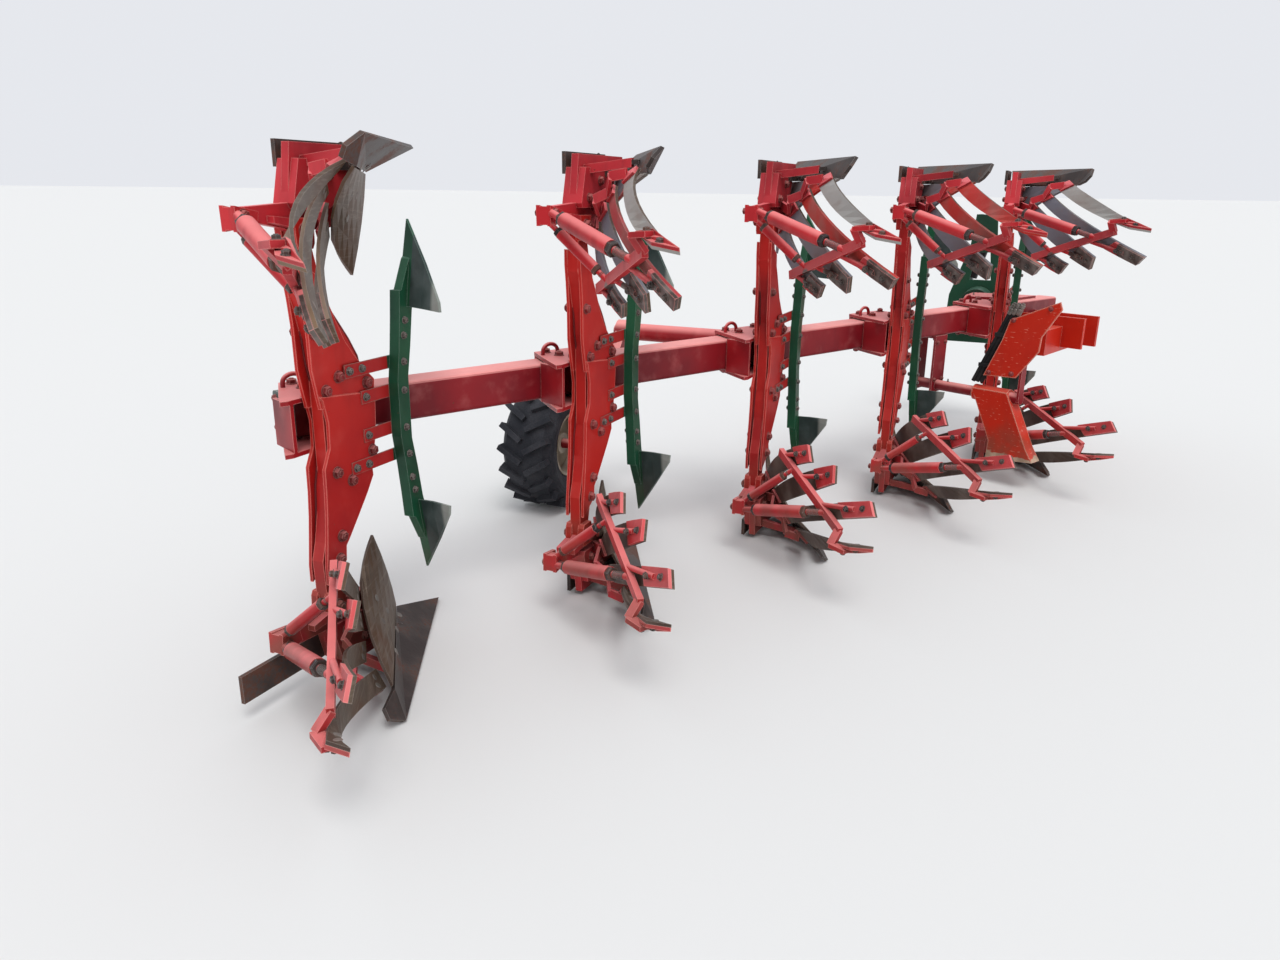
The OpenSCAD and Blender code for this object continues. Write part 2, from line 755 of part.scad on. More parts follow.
// Outline of the guard plate, as [left of the leg, height from the beam's middle]
guard_outline = [[-219, -256], [-307, -44], [-340, 70], [-606, 190], [-622, 150], [-530, -6],
                 [-525, -85], [-412, -245]];

module guard_plate() {
    color([0.76, 0.20, 0.13])
        at_leg(last) along_beam()
            translate([guard_u, 0, 0])
                rotate([90, 0, 90])
                    linear_extrude(guard_t)
                        polygon(guard_outline);
}

// Hanger under the beam, with the tube that the parking stand swings on
module stand_bracket() {
    hang_w = 120;
    color(red)
        at_leg(last) along_beam() {
            translate([stand_u - hang_w / 2, beam_v - beam_w / 2, -beam_w / 2 - 16])
                cube([hang_w, beam_w, 16 - gap]);
            for (v = [beam_v - beam_w / 2, beam_v + beam_w / 2 - 14])
                translate([stand_u - hang_w / 2, v, stand_z - 40])
                    cube([hang_w, 14, -stand_z + 40 - beam_w / 2 - gap]);
            translate([stand_u, beam_v + beam_w / 2 + 20, stand_z])
                rotate([90, 0, 0])
                    cylinder(d = arm_d, h = beam_v + beam_w / 2 + 20 + 442, $fn = smooth);
            // Plate from the tube's end to the guard plate
            translate([guard_u + guard_t, -442, stand_z - 15])
                cube([50, 14, 220]);
        }
}

// Swinging box leg, leaning outwards. Outline as [left of the leg, below the tube]
stand_outline = [[-160, 30], [-375, 30], [-525, -265], [-572, -335], [-295, -365], [-300, -256]];

module parking_stand() {
    depth = 90;
    color([0.76, 0.20, 0.13])
        at_leg(last) along_beam()
            translate([stand_u, 0, stand_z])
                difference() {
                    union() {
                        translate([0, -160, 0])
                            rotate([90, 0, 0]) cylinder(d = arm_d + 30, h = 215, $fn = smooth);
                        translate([-depth / 2, 0, 0])
                            rotate([90, 0, 90])
                                linear_extrude(depth) polygon(stand_outline);
                    }
                    rotate([90, 0, 0]) cylinder(d = arm_d + 2 * gap, h = 900, $fn = smooth);
                }
}

// Outline of the headstock's front plate, as [left, height above the shaft]
head_outline = [[-70, tower_h + 55], [-90, 380], [-200, 40], [-215, -290],
                [215, -290], [200, 40], [90, 380], [70, tower_h + 55]];
cross_x = front_x + 65;
// Distance between the two top link holes
hole_step = 75;
top_hole_x = 110;
shaft_tube_d = 70;

module headstock() {
    color([0.16, 0.28, 0.22])
        translate([front_x, axis_y, mid_h])
            difference() {
                union() {
                    rotate([90, 0, 90])
                        linear_extrude(head_t) polygon(head_outline);
                    translate([-bearing_l, 0, 0])
                        rotate([0, 90, 0]) cylinder(d = turn_d + 40, h = bearing_l + head_t, $fn = 64);
                }
                translate([-bearing_l - 1, 0, 0])
                    rotate([0, 90, 0])
                        cylinder(d = shaft_d + 2 * gap, h = bearing_l + head_t + 2, $fn = 64);
                // Window under the cylinder's pin
                translate([-1, 0, 0])
                    rotate([90, 0, 90])
                        linear_extrude(head_t + 2)
                            polygon([[-70, 150], [70, 150], [48, ram_pivot_z - 55], [-48, ram_pivot_z - 55]]);
            }
}

// Ears for the top link, on the front plate
module top_link_ears() {
    ear_gap = 72;
    ear_t = 24;
    ear_z = ram_pivot_z + rod_eye_d / 2 + 5;
    color([0.16, 0.28, 0.22])
        translate([front_x + head_t, axis_y, mid_h])
            difference() {
                for (y = [-ear_gap / 2 - ear_t, ear_gap / 2])
                    translate([0, y, ear_z]) cube([150 - head_t, ear_t, tower_h + 55 - ear_z]);
                for (z = [tower_h, tower_h - hole_step])
                    translate([top_hole_x - head_t, 100, z])
                        rotate([90, 0, 0]) cylinder(d = top_hole_d, h = 200, $fn = smooth);
            }
}

// Cheeks for the cross shaft, on the front plate
module link_cheeks() {
    cheek_y = 170;
    plate = 20;
    color([0.16, 0.28, 0.22])
        translate([front_x + head_t, axis_y, mid_h])
            difference() {
                for (y = [-cheek_y - plate, cheek_y])
                    translate([0, y, -290]) cube([120 - head_t, plate, 230]);
                translate([cross_x - front_x - head_t, link_span, -link_drop])
                    rotate([90, 0, 0])
                        cylinder(d = shaft_tube_d + 2 * gap, h = 2 * link_span, $fn = smooth);
            }
}

// Pin that carries the cylinder
module cylinder_pin() {
    color(steel)
        translate([front_x + head_t, axis_y, mid_h + ram_pivot_z])
            rotate([0, 90, 0])
                cylinder(d = ram_pin_d, h = ram_x - front_x - head_t + 30, $fn = smooth);
}

module cross_shaft() {
    color(steel)
        translate([cross_x, axis_y, mid_h - link_drop])
            rotate([90, 0, 0])
                translate([0, 0, -link_span / 2 - link_pin_l]) {
                    cylinder(d = link_pin_d, h = link_span + 2 * link_pin_l, $fn = smooth);
                    translate([0, 0, link_pin_l]) cylinder(d = shaft_tube_d, h = link_span, $fn = smooth);
                }
}

// Moves children to the cylinder's pivot, with the cylinder hanging down -Z
module at_ram() {
    translate([ram_x, axis_y, mid_h + ram_pivot_z])
        rotate([ram_tilt, 0, 0])
            children();
}

module cylinder_barrel() {
    barrel_end = 242;
    eye_h = 44;
    bore_end = 50;
    color(black)
        at_ram()
            difference() {
                union() {
                    rotate([0, 90, 0])
                        cylinder(d = rod_eye_d, h = eye_h, center = true, $fn = smooth);
                    translate([0, 0, -barrel_end])
                        cylinder(d = ram_d, h = barrel_end - 28, $fn = smooth);
                }
                rotate([0, 90, 0])
                    cylinder(d = ram_pin_d + 2 * gap, h = 2 * ram_d, center = true, $fn = smooth);
                translate([0, 0, -barrel_end - 1])
                    cylinder(d = ram_rod_d + 2 * gap, h = barrel_end + 1 - bore_end, $fn = smooth);
            }
}

module cylinder_rod() {
    rod_top = 188;
    color(steel)
        at_ram()
            difference() {
                union() {
                    translate([0, 0, -ram_len + 10])
                        cylinder(d = ram_rod_d, h = ram_len - 10 - rod_top, $fn = smooth);
                    translate([0, 0, -ram_len])
                        rotate([0, 90, 0])
                            cylinder(d = rod_eye_d, h = eye_w, center = true, $fn = smooth);
                }
                translate([0, 0, -ram_len])
                    rotate([0, 90, 0])
                        cylinder(d = ram_pin_d, h = 2 * eye_w, center = true, $fn = smooth);
            }
}

// Three taut hoses along the guard plate's edge, held by two clamp blocks
module hoses() {
    hose_d = 24;
    spacing = hose_d + 1;
    cover = 3;
    u = guard_u + guard_t + gap + cover + hose_d / 2;
    top = [u, -345, 100];
    bottom = [u, -175, -300];
    color(black)
        at_leg(last) along_beam() {
            for (k = [-1:1])
                rod(top + [0, k * spacing, 0], bottom + [0, k * spacing, 0], hose_d);
            for (place = [0.3, 0.75])
                translate(top + place * (bottom - top))
                    cube([hose_d + 2 * cover, 3 * spacing + 2 * cover, 20], center = true);
        }
}

for (i = [1:bodies_n]) {
    clamp(i - 1);
    leg(i - 1);
    frog(i - 1);
    shares(i - 1);
    moldboards(i - 1);
    stays(i - 1);
    skimmers(i - 1);
}
beam();
beam_end_plate();
wheel_bracket();
wheel_arm();
wheel_rim();
tyre();
turning_frame();
side_arm();
guard_plate();
stand_bracket();
parking_stand();
headstock();
top_link_ears();
link_cheeks();
cylinder_pin();
cross_shaft();
cylinder_barrel();
cylinder_rod();
hoses();
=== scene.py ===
# %% [markdown]
# # A reversible plough with slatted moldboards
#
# The frame holds every rigid piece at its real size. This script gives the pieces their finish
# and adds what a plain solid leaves out: bolts, welds, pins and worn edges, whose pale rims are
# partly a painted highlight. Lengths are in metres. The plough travels along +X, +Y is its left
# side and +Z is up.

# %% Load the frame
import math

import bmesh
import bpy
from mathutils import Matrix, Vector
from mathutils.bvhtree import BVHTree


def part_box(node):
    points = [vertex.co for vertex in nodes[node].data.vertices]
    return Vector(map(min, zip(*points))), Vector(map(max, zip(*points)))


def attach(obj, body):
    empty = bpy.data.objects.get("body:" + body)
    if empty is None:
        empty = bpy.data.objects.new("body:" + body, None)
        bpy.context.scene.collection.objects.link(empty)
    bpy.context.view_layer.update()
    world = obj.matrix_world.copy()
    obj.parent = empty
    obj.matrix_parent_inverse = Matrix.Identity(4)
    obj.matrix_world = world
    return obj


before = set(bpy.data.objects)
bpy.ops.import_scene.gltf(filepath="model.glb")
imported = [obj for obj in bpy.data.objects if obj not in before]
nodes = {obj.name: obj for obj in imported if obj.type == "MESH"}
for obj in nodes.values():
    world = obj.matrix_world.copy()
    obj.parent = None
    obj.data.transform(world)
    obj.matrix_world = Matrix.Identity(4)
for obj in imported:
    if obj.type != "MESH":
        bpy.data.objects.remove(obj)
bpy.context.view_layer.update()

# %% [markdown]
# ## Where things are
#
# Five legs stand in a row along a slanting beam. Every bolt and weld belongs to a leg or to the
# beam, so two small functions turn a place beside a leg, or along the beam, into a place in the
# scene. The numbers could be repeated for each leg, but then a mistake would hide easily.

# %% Places on the plough
BEAM_HEIGHT = 0.872
FIRST_LEG = Vector((-2.012, 1.045, BEAM_HEIGHT))
LEG_SPACING = 1.05
BEAM_SLANT = math.radians(25.0)
BEAM_DIRECTION = Vector((math.cos(BEAM_SLANT), -math.sin(BEAM_SLANT), 0.0))
BEAM_SIDE = Vector((math.sin(BEAM_SLANT), math.cos(BEAM_SLANT), 0.0))
LEGS = range(5)


def beside_leg(leg, x, y, z):
    """A place forward, left of and above the middle of a leg, which is the beam's middle there."""
    return FIRST_LEG + leg * LEG_SPACING * BEAM_DIRECTION + Vector((x, y, z))


def along_beam(leg, u, v, z):
    """A place u along the beam, v to its left and z above its middle, counted from a leg."""
    return FIRST_LEG + (leg * LEG_SPACING + u) * BEAM_DIRECTION + v * BEAM_SIDE + Vector((0, 0, z))


print("legs at x", [round(beside_leg(leg, 0, 0, 0).x, 3) for leg in LEGS])

# %% [markdown]
# ## Camera
#
# The camera stands behind the plough and to its right, a little above the beam, and looks down
# along the row of bodies. It could be aimed by eye, but its place and lens come from matching
# straight edges of the legs and the beam, so the parts land where they do in the photograph.
# The focal length was found in pixels of the photograph, and the sensor's width turns it into
# millimetres.

# %% Camera
PHOTO_WIDTH = 1280.0
FOCAL_LENGTH = 940.0
STANDPOINT = (-4.406, -1.058, 1.600)
camera_data = bpy.data.cameras.new("view")
camera_data.sensor_width = 36.0
camera_data.lens = camera_data.sensor_width * FOCAL_LENGTH / PHOTO_WIDTH
camera = bpy.data.objects.new("view", camera_data)
heading = math.radians(23.71)
pitch = math.radians(-17.13)
roll = math.radians(0.68)
forward = Vector((math.cos(heading) * math.cos(pitch), math.sin(heading) * math.cos(pitch),
                  math.sin(pitch)))
level_right = Vector((math.sin(heading), -math.cos(heading), 0.0))
level_up = level_right.cross(forward)
right = math.cos(roll) * level_right + math.sin(roll) * level_up
up = right.cross(forward)
turn = Matrix((right, up, -forward)).transposed()
camera.matrix_world = Matrix.Translation(STANDPOINT) @ turn.to_4x4()
bpy.context.scene.collection.objects.link(camera)
bpy.context.scene.camera = camera
print("camera looks towards", [round(value, 2) for value in forward])

# %% [markdown]
# ## Shader maths as Python
#
# A worn paint is a stack of masks: where it is faded, chipped, dusty or rubbed, and where painted light
# and shade go. Wiring those by hand takes dozens of nodes. A small class wraps a socket, so that a mask
# can be written as `1 - mask` or `a * b`, and each sign adds its Math node. One method makes any other
# node.


# %% A socket that Python can do sums with
class Mask:
    def __init__(self, finish, socket):
        self.finish = finish
        self.socket = socket

    def maths(self, operation, *values):
        return self.finish.node("ShaderNodeMath", list(values), operation=operation)

    def __add__(self, other):
        return self.maths("ADD", self, other)

    def __radd__(self, other):
        return self.maths("ADD", other, self)

    def __sub__(self, other):
        return self.maths("SUBTRACT", self, other)

    def __rsub__(self, other):
        return self.maths("SUBTRACT", other, self)

    def __mul__(self, other):
        return self.maths("MULTIPLY", self, other)

    def __rmul__(self, other):
        return self.maths("MULTIPLY", other, self)

    def __abs__(self):
        return self.maths("ABSOLUTE", self)

    def between(self, low, high):
        """0 below low, 1 above high, and a smooth step from one to the other."""
        values = {"Value": self, "From Min": low, "From Max": high}
        return self.finish.node("ShaderNodeMapRange", values, interpolation_type="SMOOTHSTEP")

    def limited(self):
        return self.finish.node("ShaderNodeClamp", {"Value": self})


# %% A finish and its nodes
def linear(red, green, blue):
    """A colour read from a picture, 0 to 255, as the shader wants it."""
    def channel(value):
        value /= 255.0
        return value / 12.92 if value <= 0.04045 else ((value + 0.055) / 1.055) ** 2.4
    return (channel(red), channel(green), channel(blue), 1.0)


class Nodes:
    """A node tree that Python adds nodes to, with one method for any kind of node."""
    def put(self, socket, value):
        """Links a mask to a socket, or sets a plain value there."""
        if isinstance(value, Mask):
            self.tree.links.new(value.socket, socket)
        else:
            socket.default_value = value

    def node(self, kind, values=(), output=0, **settings):
        """Adds a node, with its settings first and then its inputs, and gives one output."""
        made = self.tree.nodes.new(kind)
        for setting, value in settings.items():
            setattr(made, setting, value)
        pairs = values.items() if isinstance(values, dict) else enumerate(values)
        for key, value in pairs:
            self.put(made.inputs[key], value)
        return Mask(self, made.outputs[output])


class Finish(Nodes):
    def __init__(self, name):
        self.material = bpy.data.materials.new(name)
        self.material.use_nodes = True
        self.tree = self.material.node_tree
        self.shader = self.tree.nodes["Principled BSDF"]
        self.coordinates = self.node("ShaderNodeTexCoord", output="Object")
        self.facing = self.node("ShaderNodeTexCoord", output="Normal")

    def mix(self, amount, first, second):
        """Colour first where amount is 0 and second where it is 1."""
        values = {0: amount, 6: first, 7: second}
        return self.node("ShaderNodeMix", values, output=2, data_type="RGBA")

    def vector_maths(self, operation, *vectors):
        """A number made from vectors, such as a length or a distance."""
        return self.node("ShaderNodeVectorMath", vectors, output="Value", operation=operation)

    def part(self, axis, vector=None):
        """One of the three numbers of a vector, the place on the plough unless given."""
        return self.node("ShaderNodeSeparateXYZ", [vector or self.coordinates], output=axis)

    def noise(self, scale, detail=3.0, stretch=(1.0, 1.0, 1.0), shift=0.0):
        """Cloudy values round 0.5. A stretch above 1 makes the pattern finer along that axis."""
        place = self.node("ShaderNodeMapping", {"Vector": self.coordinates, "Scale": stretch,
                                                "Location": (shift, 2.0 * shift, 3.0 * shift)})
        return self.node("ShaderNodeTexNoise", {"Vector": place, "Scale": scale, "Detail": detail})

    def edges(self, width=0.004):
        """1 at the pieces' edges and 0 on their flats: a rounded normal leaves the real one there."""
        rounded = self.node("ShaderNodeBevel", {"Radius": width}, samples=4)
        real = self.node("ShaderNodeNewGeometry", output="Normal")
        return 1.0 - self.vector_maths("DOT_PRODUCT", rounded, real)

    def corners(self, reach=0.05):
        """1 deep in a corner, where shade falls and dirt stays, and 0 in the open. It lays painted shade as
        well as dirt.
        """
        values = {"Distance": reach}
        return 1.0 - self.node("ShaderNodeAmbientOcclusion", values, output="AO", samples=4)

    def use(self, colour, roughness, metallic=0.0, relief=None, depth=0.001):
        """Feeds the shader and gives the material. The relief is a bump of the given depth."""
        self.put(self.shader.inputs["Base Color"], colour)
        self.put(self.shader.inputs["Roughness"], roughness)
        self.put(self.shader.inputs["Metallic"], metallic)
        self.shader.inputs["Specular IOR Level"].default_value = 0.25
        if relief is not None:
            bump = self.node("ShaderNodeBump", {"Height": relief, "Distance": depth, "Strength": 1.0})
            self.put(self.shader.inputs["Normal"], bump)
        return self.material


# %% [markdown]
# ## Weathered paint
#
# The paint on the real plough was one bright red. Sun and rain bleach the faces that look up to
# a chalky pink, and those faces are painted lighter still, as painted sky light. Grime and painted
# shade darken the corners, soil gathers near the ground, stones chip it down to rust, and hands and
# chains rub the edges, whose pale rims are also a painted highlight. A picture of such a surface
# would only fit one piece, so one function makes the paint from masks and every painted piece gets
# its own colours and amounts.


# %% Paint that has been out in the weather
# A soil brown, laid near the ground and, as painted shade, in corners.
SOIL_AND_SHADE = linear(96, 76, 60)
# A dark red for grime and for painted shade in the corners.
GRIME_AND_SHADE = linear(62, 34, 34)
RUST = linear(104, 58, 40)


def weathered_paint(name, base, faded_and_sky_lit, deep, edge, fading_and_top_light=0.8, chips=0.5, grime_and_shade=0.5, rubbed_and_highlit=0.7,
                    rim=0.004, cover=None):
    """Paint with its wear.

    The four colours are the paint, its bleached side, its shaded patches and its rubbed edges,
    which are rim wide. The bleached side is also painted sky light on the faces that look up, the
    rubbed edges also carry a painted highlight, and the corner grime is partly painted shade. The
    other numbers say how much of each kind of wear and painted light there is. The function
    cover may change the colour before chips and dirt are laid on.
    """
    base, faded_and_sky_lit, deep, edge = (linear(*colour) for colour in (base, faded_and_sky_lit, deep, edge))
    finish = Finish(name)
    clouds = finish.noise(2.3, 4.0)
    blotches = finish.noise(11.0, 4.0, shift=3.1)
    specks = finish.noise(75.0, 5.0, shift=5.3)
    grain = finish.noise(420.0, 2.0)
    runs = finish.noise(16.0, 3.0, stretch=(1.0, 1.0, 0.14), shift=1.7)
    upward = finish.part("Z", finish.facing).between(0.15, 0.9)
    # Ambient occlusion: the corners and the gaps between parts get painted shade with the grime.
    corner_shade = finish.corners()
    # Pale rubbed edges, which also stand in for a painted highlight along every edge.
    edges = (finish.edges(rim) * (0.4 + specks)).between(0.05, 0.16)

    colour = finish.mix(clouds.between(0.3, 0.62), deep, base)
    # Faces that look up are bleached by the sun and also painted lighter, as painted sky light.
    bleach_and_sky_light = (blotches.between(0.5, 0.8) * 0.14 + upward * (0.55 + 0.6 * clouds)) * fading_and_top_light
    colour = finish.mix(bleach_and_sky_light.limited(), colour, faded_and_sky_lit)
    if cover:
        colour = cover(finish, colour)
    # Dark stain: rain runs down the sides, and painted shade in the corners.
    stain_and_shade = (runs.between(0.5, 0.78) * (1.0 - upward) * 0.3 + corner_shade.between(0.3, 0.85) * 0.8) * grime_and_shade
    colour = finish.mix(stain_and_shade.limited(), colour, GRIME_AND_SHADE)
    near_ground = (0.5 - finish.part("Z")).between(0.0, 0.35) * (0.3 + blotches).between(0.55, 0.95)
    colour = finish.mix(near_ground * 0.65, colour, SOIL_AND_SHADE)
    chipped = (specks + 0.35 * blotches).between(0.98 - 0.10 * chips, 1.02 - 0.08 * chips)
    colour = finish.mix(chipped * 0.85, colour, RUST)
    colour = finish.mix(edges * rubbed_and_highlit, colour, edge)

    roughness = 0.34 + 0.22 * bleach_and_sky_light.limited() + 0.3 * stain_and_shade.limited() + 0.08 * grain
    relief = 0.25 * grain + 0.6 * blotches - 1.4 * chipped
    return finish.use(colour, roughness, relief=relief, depth=0.0006)


# %% [markdown]
# ## Scoured steel
#
# Soil polishes the front of each slat and every share, and after a week in the rain they turn
# brown again. The backs keep what is left of their paint, and each slat was replaced at
# another time, so the colours differ from slat to slat. The solid of one body holds all its
# slats, so straight lines between them, written as masks, tell which slat a point is on.


# %% Slats
# Each line starts so far behind the leg, at a height above the ground, and rises by its slope
# towards the tail. The upper body counts as folded down on the lower one.
LINES_BETWEEN_SLATS = [(0.23, 0.120, 0.40), (0.165, 0.175, 0.60), (0.105, 0.230, 0.71)]
# The way that the side of a slat looks which the soil slides over.
WORKED_SIDE = (0.62, -0.74, 0.0)
DUSTY = linear(150, 138, 128)
SCUFFED = linear(120, 106, 92)
BROWN_FILM = linear(98, 66, 46)
SCRATCH = linear(150, 138, 124)
SLAT_RIM = linear(176, 166, 156)


def slat_finish(leg, upper_backs, lower_back, front):
    """Steel for the slats of a leg, with a colour for each back of the upper body."""
    finish = Finish(f"slats_{leg + 1}")
    middle = beside_leg(leg, 0.0, 0.0, 0.0)
    behind = middle.x - finish.part("X")
    above_middle = finish.part("Z") - middle.z
    height = middle.z - abs(above_middle)
    upper = above_middle.between(-0.01, 0.01)
    clouds = finish.noise(5.0, 4.0, shift=leg * 1.3)
    streaks = finish.noise(34.0, 4.0, stretch=(0.18, 0.3, 1.0), shift=leg * 0.7)
    specks = finish.noise(120.0, 4.0)
    back = upper_backs[0]
    for (start, level, slope), colour in zip(LINES_BETWEEN_SLATS, upper_backs[1:]):
        over = (height - level - slope * (behind - start)).between(-0.004, 0.004)
        back = finish.mix(over, back, colour)
    back = finish.mix(upper, lower_back, back)
    back = finish.mix(clouds.between(0.4, 0.7) * 0.4, back, DUSTY)
    back = finish.mix((streaks * clouds).between(0.26, 0.5) * 0.28, back, RUST)
    in_front = finish.vector_maths("DOT_PRODUCT", finish.facing, WORKED_SIDE).between(-0.1, 0.1)
    scratches = finish.noise(150.0, 3.0, stretch=(0.05, 0.08, 1.0), shift=leg * 2.1)
    worn = finish.mix(streaks.between(0.35, 0.8) * 0.35, front, SCUFFED)
    worn = finish.mix(clouds.between(0.42, 0.75) * 0.6, worn, BROWN_FILM)
    worn = finish.mix(scratches.between(0.52, 0.66) * 0.22, worn, SCRATCH)
    colour = finish.mix(in_front, back, worn)
    # Ambient occlusion: soil, and painted shade, in the corners and between slats.
    soil_and_shade = finish.corners().between(0.35, 0.85)
    colour = finish.mix(soil_and_shade * 0.6, colour, SOIL_AND_SHADE)
    edges = (finish.edges(0.003) * (0.5 + specks)).between(0.06, 0.2)
    colour = finish.mix(edges * 0.55, colour, SLAT_RIM)
    roughness = 0.42 + 0.22 * clouds + 0.1 * specks - 0.1 * in_front
    relief = 0.5 * streaks + 0.3 * specks
    return finish.use(colour, roughness, metallic=0.45 * in_front, relief=relief, depth=0.0008)


# %% [markdown]
# ## Steel and rubber
#
# Shares, pins and bolts are bare steel with rust in patches and with soil and painted shade in
# their corners, and the tyre and the hoses are rubber with dust on it. Ready-made metals look new,
# so these are built from the same masks as the paint, with fewer layers. The rings moulded on the
# tyre's side are only 2 mm high. They could be real shape, but as bumps round the hub they cost nothing.


# %% Bare steel and rubber
STEEL_RIM = linear(170, 165, 160)
# Radii of the rings on the tyre's side.
TYRE_RINGS = (0.192, 0.204, 0.252)


def bare_steel(name, light, dark, rusty=0.4, shine=0.55, soil_and_shade=0.5):
    """Steel between two colours, with rust, and with soil and painted shade in its corners."""
    finish = Finish(name)
    clouds = finish.noise(6.0, 4.0)
    specks = finish.noise(90.0, 4.0, shift=2.2)
    colour = finish.mix(clouds.between(0.35, 0.68), linear(*dark), linear(*light))
    rust = (clouds + specks * 0.5).between(0.72, 0.92) * rusty
    colour = finish.mix(rust, colour, RUST)
    # Ambient occlusion: soil, and painted shade, in the corners.
    colour = finish.mix(finish.corners().between(0.3, 0.85) * soil_and_shade, colour, SOIL_AND_SHADE)
    edges = (finish.edges(0.003) * (0.5 + specks)).between(0.06, 0.2)
    colour = finish.mix(edges * 0.6, colour, STEEL_RIM)
    roughness = 0.38 + 0.25 * clouds + 0.2 * rust
    relief = specks + clouds
    return finish.use(colour, roughness, metallic=shine * (1.0 - rust), relief=relief, depth=0.0006)


def dusty_rubber(name, colour, dust, amount, hub=None):
    """Rubber with some amount of dust on it. Round a hub, rings are moulded on the tyre's side."""
    colour, dust = linear(*colour), linear(*dust)
    finish = Finish(name)
    clouds = finish.noise(7.0, 4.0)
    specks = finish.noise(160.0, 3.0)
    settled = (clouds + 0.4 * specks).between(0.5, 0.95) * amount
    worn = finish.edges(0.005).between(0.05, 0.3)
    shade = finish.mix(settled, colour, dust)
    shade = finish.mix(worn * 0.4, shade, dust)
    relief = specks
    if hub:
        values = [finish.part("X") - hub.x, 0.0, finish.part("Z") - hub.z]
        radius = finish.vector_maths("LENGTH", finish.node("ShaderNodeCombineXYZ", values))
        for ring in TYRE_RINGS:
            ridge = 1.0 - abs(radius - ring).between(0.002, 0.005)
            relief = relief + 4.0 * ridge
    return finish.use(shade, 0.7 + 0.2 * clouds, relief=relief, depth=0.0005)


# %% [markdown]
# ## A finish for each kind of piece
#
# The colours follow the photograph where it shows the piece, and the usual colours of such a
# plough elsewhere. One paint could do for all the red pieces, but the real ones have faded by
# different amounts, and that is what makes them look used.

# %% Paints
# The pale top colour and the edge colour of each paint are bleached and rubbed paint, and also painted sky
# light and a painted highlight.
beam_red = weathered_paint("beam_red", (142, 26, 34), (255, 170, 164), (104, 18, 28), (250, 190, 182),
                           fading_and_top_light=0.95, grime_and_shade=0.45)
leg_red = weathered_paint("leg_red", (190, 34, 28), (228, 108, 98), (158, 24, 26), (240, 138, 126),
                          grime_and_shade=0.55, rubbed_and_highlit=0.85, rim=0.007)
clamp_red = weathered_paint("clamp_red", (166, 28, 34), (250, 156, 152), (112, 20, 30), (248, 182, 172),
                            fading_and_top_light=0.9, grime_and_shade=0.7)
frog_red = weathered_paint("frog_red", (200, 52, 60), (238, 122, 126), (148, 32, 40), (240, 150, 144),
                           grime_and_shade=0.8)
front_red = weathered_paint("front_red", (204, 44, 24), (226, 96, 76), (186, 36, 22), (232, 168, 150),
                            fading_and_top_light=0.6, chips=0.8, grime_and_shade=0.35)
head_green = weathered_paint("head_green", (28, 70, 50), (80, 114, 96), (20, 50, 38), (112, 138, 124),
                             fading_and_top_light=0.5)
cap_grey = weathered_paint("cap_grey", (80, 94, 88), (160, 166, 160), (58, 70, 66), (172, 174, 166))
rim_cream = weathered_paint("rim_cream", (184, 176, 156), (204, 198, 182), (146, 136, 118),
                            (120, 84, 60), chips=1.0, grime_and_shade=0.8)
black_paint = weathered_paint("black_paint", (28, 28, 30), (74, 74, 74), (20, 20, 22), (104, 102, 98),
                              fading_and_top_light=0.5, grime_and_shade=0.4)
# The bolts' paint is a deeper red than the legs: grime, and painted shade round the bolts.
shaded_bolt_red = weathered_paint("shaded_bolt_red", (128, 34, 36), (200, 120, 116), (84, 30, 30), (170, 120, 112),
                           chips=1.2, grime_and_shade=0.9)
skimmer_bolts = weathered_paint("skimmer_bolts", (78, 68, 64), (136, 128, 122), (48, 40, 38),
                                (160, 152, 144), chips=1.0, grime_and_shade=0.6)
print(len(bpy.data.materials), "finishes with the paints")

# %% Steel, chrome and rubber
WHEEL = Vector((-0.2288, 1.2763, 0.336))
share_dark = bare_steel("share_dark", (96, 88, 84), (66, 58, 56), rusty=0.7)
pin_bright = bare_steel("pin_bright", (150, 146, 140), (104, 98, 92), rusty=0.5)
bolt_dark = bare_steel("bolt_dark", (92, 84, 80), (56, 50, 50), rusty=0.6, shine=0.4)
chrome = bare_steel("chrome", (205, 207, 210), (180, 183, 188), rusty=0.0, shine=1.0, soil_and_shade=0.1)
tyre_black = dusty_rubber("tyre_black", (33, 35, 41), (88, 88, 92), 0.4, WHEEL)
hose_black = dusty_rubber("hose_black", (26, 26, 28), (80, 78, 76), 0.25)
print(len(bpy.data.materials), "finishes with steel and rubber")

# %% Slats of each leg
# The backs of an upper body are listed from its share towards the beam.
GREY = linear(160, 158, 154)
BLUE_GREY = linear(118, 122, 132)
PINK_RED = linear(180, 62, 66)
PLAIN_RED = linear(188, 42, 34)
TAN = linear(122, 98, 76)
BROWN = linear(70, 54, 46)
SCOURED = linear(92, 78, 66)
slats = [slat_finish(0, [TAN, TAN, linear(136, 112, 90), linear(96, 86, 80)], BROWN, SCOURED),
         slat_finish(1, [GREY, PINK_RED, BLUE_GREY, BLUE_GREY], BROWN, SCOURED),
         slat_finish(2, [GREY, PLAIN_RED, BLUE_GREY, BLUE_GREY], BROWN, SCOURED),
         slat_finish(3, [PLAIN_RED, PLAIN_RED, BLUE_GREY, BLUE_GREY], BROWN, SCOURED),
         slat_finish(4, [GREY, BLUE_GREY, BLUE_GREY, BLUE_GREY], BROWN, SCOURED)]

# %% [markdown]
# ### Several finishes on one solid
#
# The solid of the stays also holds the bare pads behind the slats' tails, and that of a skimmer
# holds red straps, a green stalk and a steel blade. The front panels are rubbed pale along their
# rims, and the parking stand's foot is worn down to primer. The solids could be cut apart, but
# nothing moves between their pieces, so a mask from the place on the piece is enough. Where the
# place counts from a leg, each leg needs its own material, which one function makes for all.

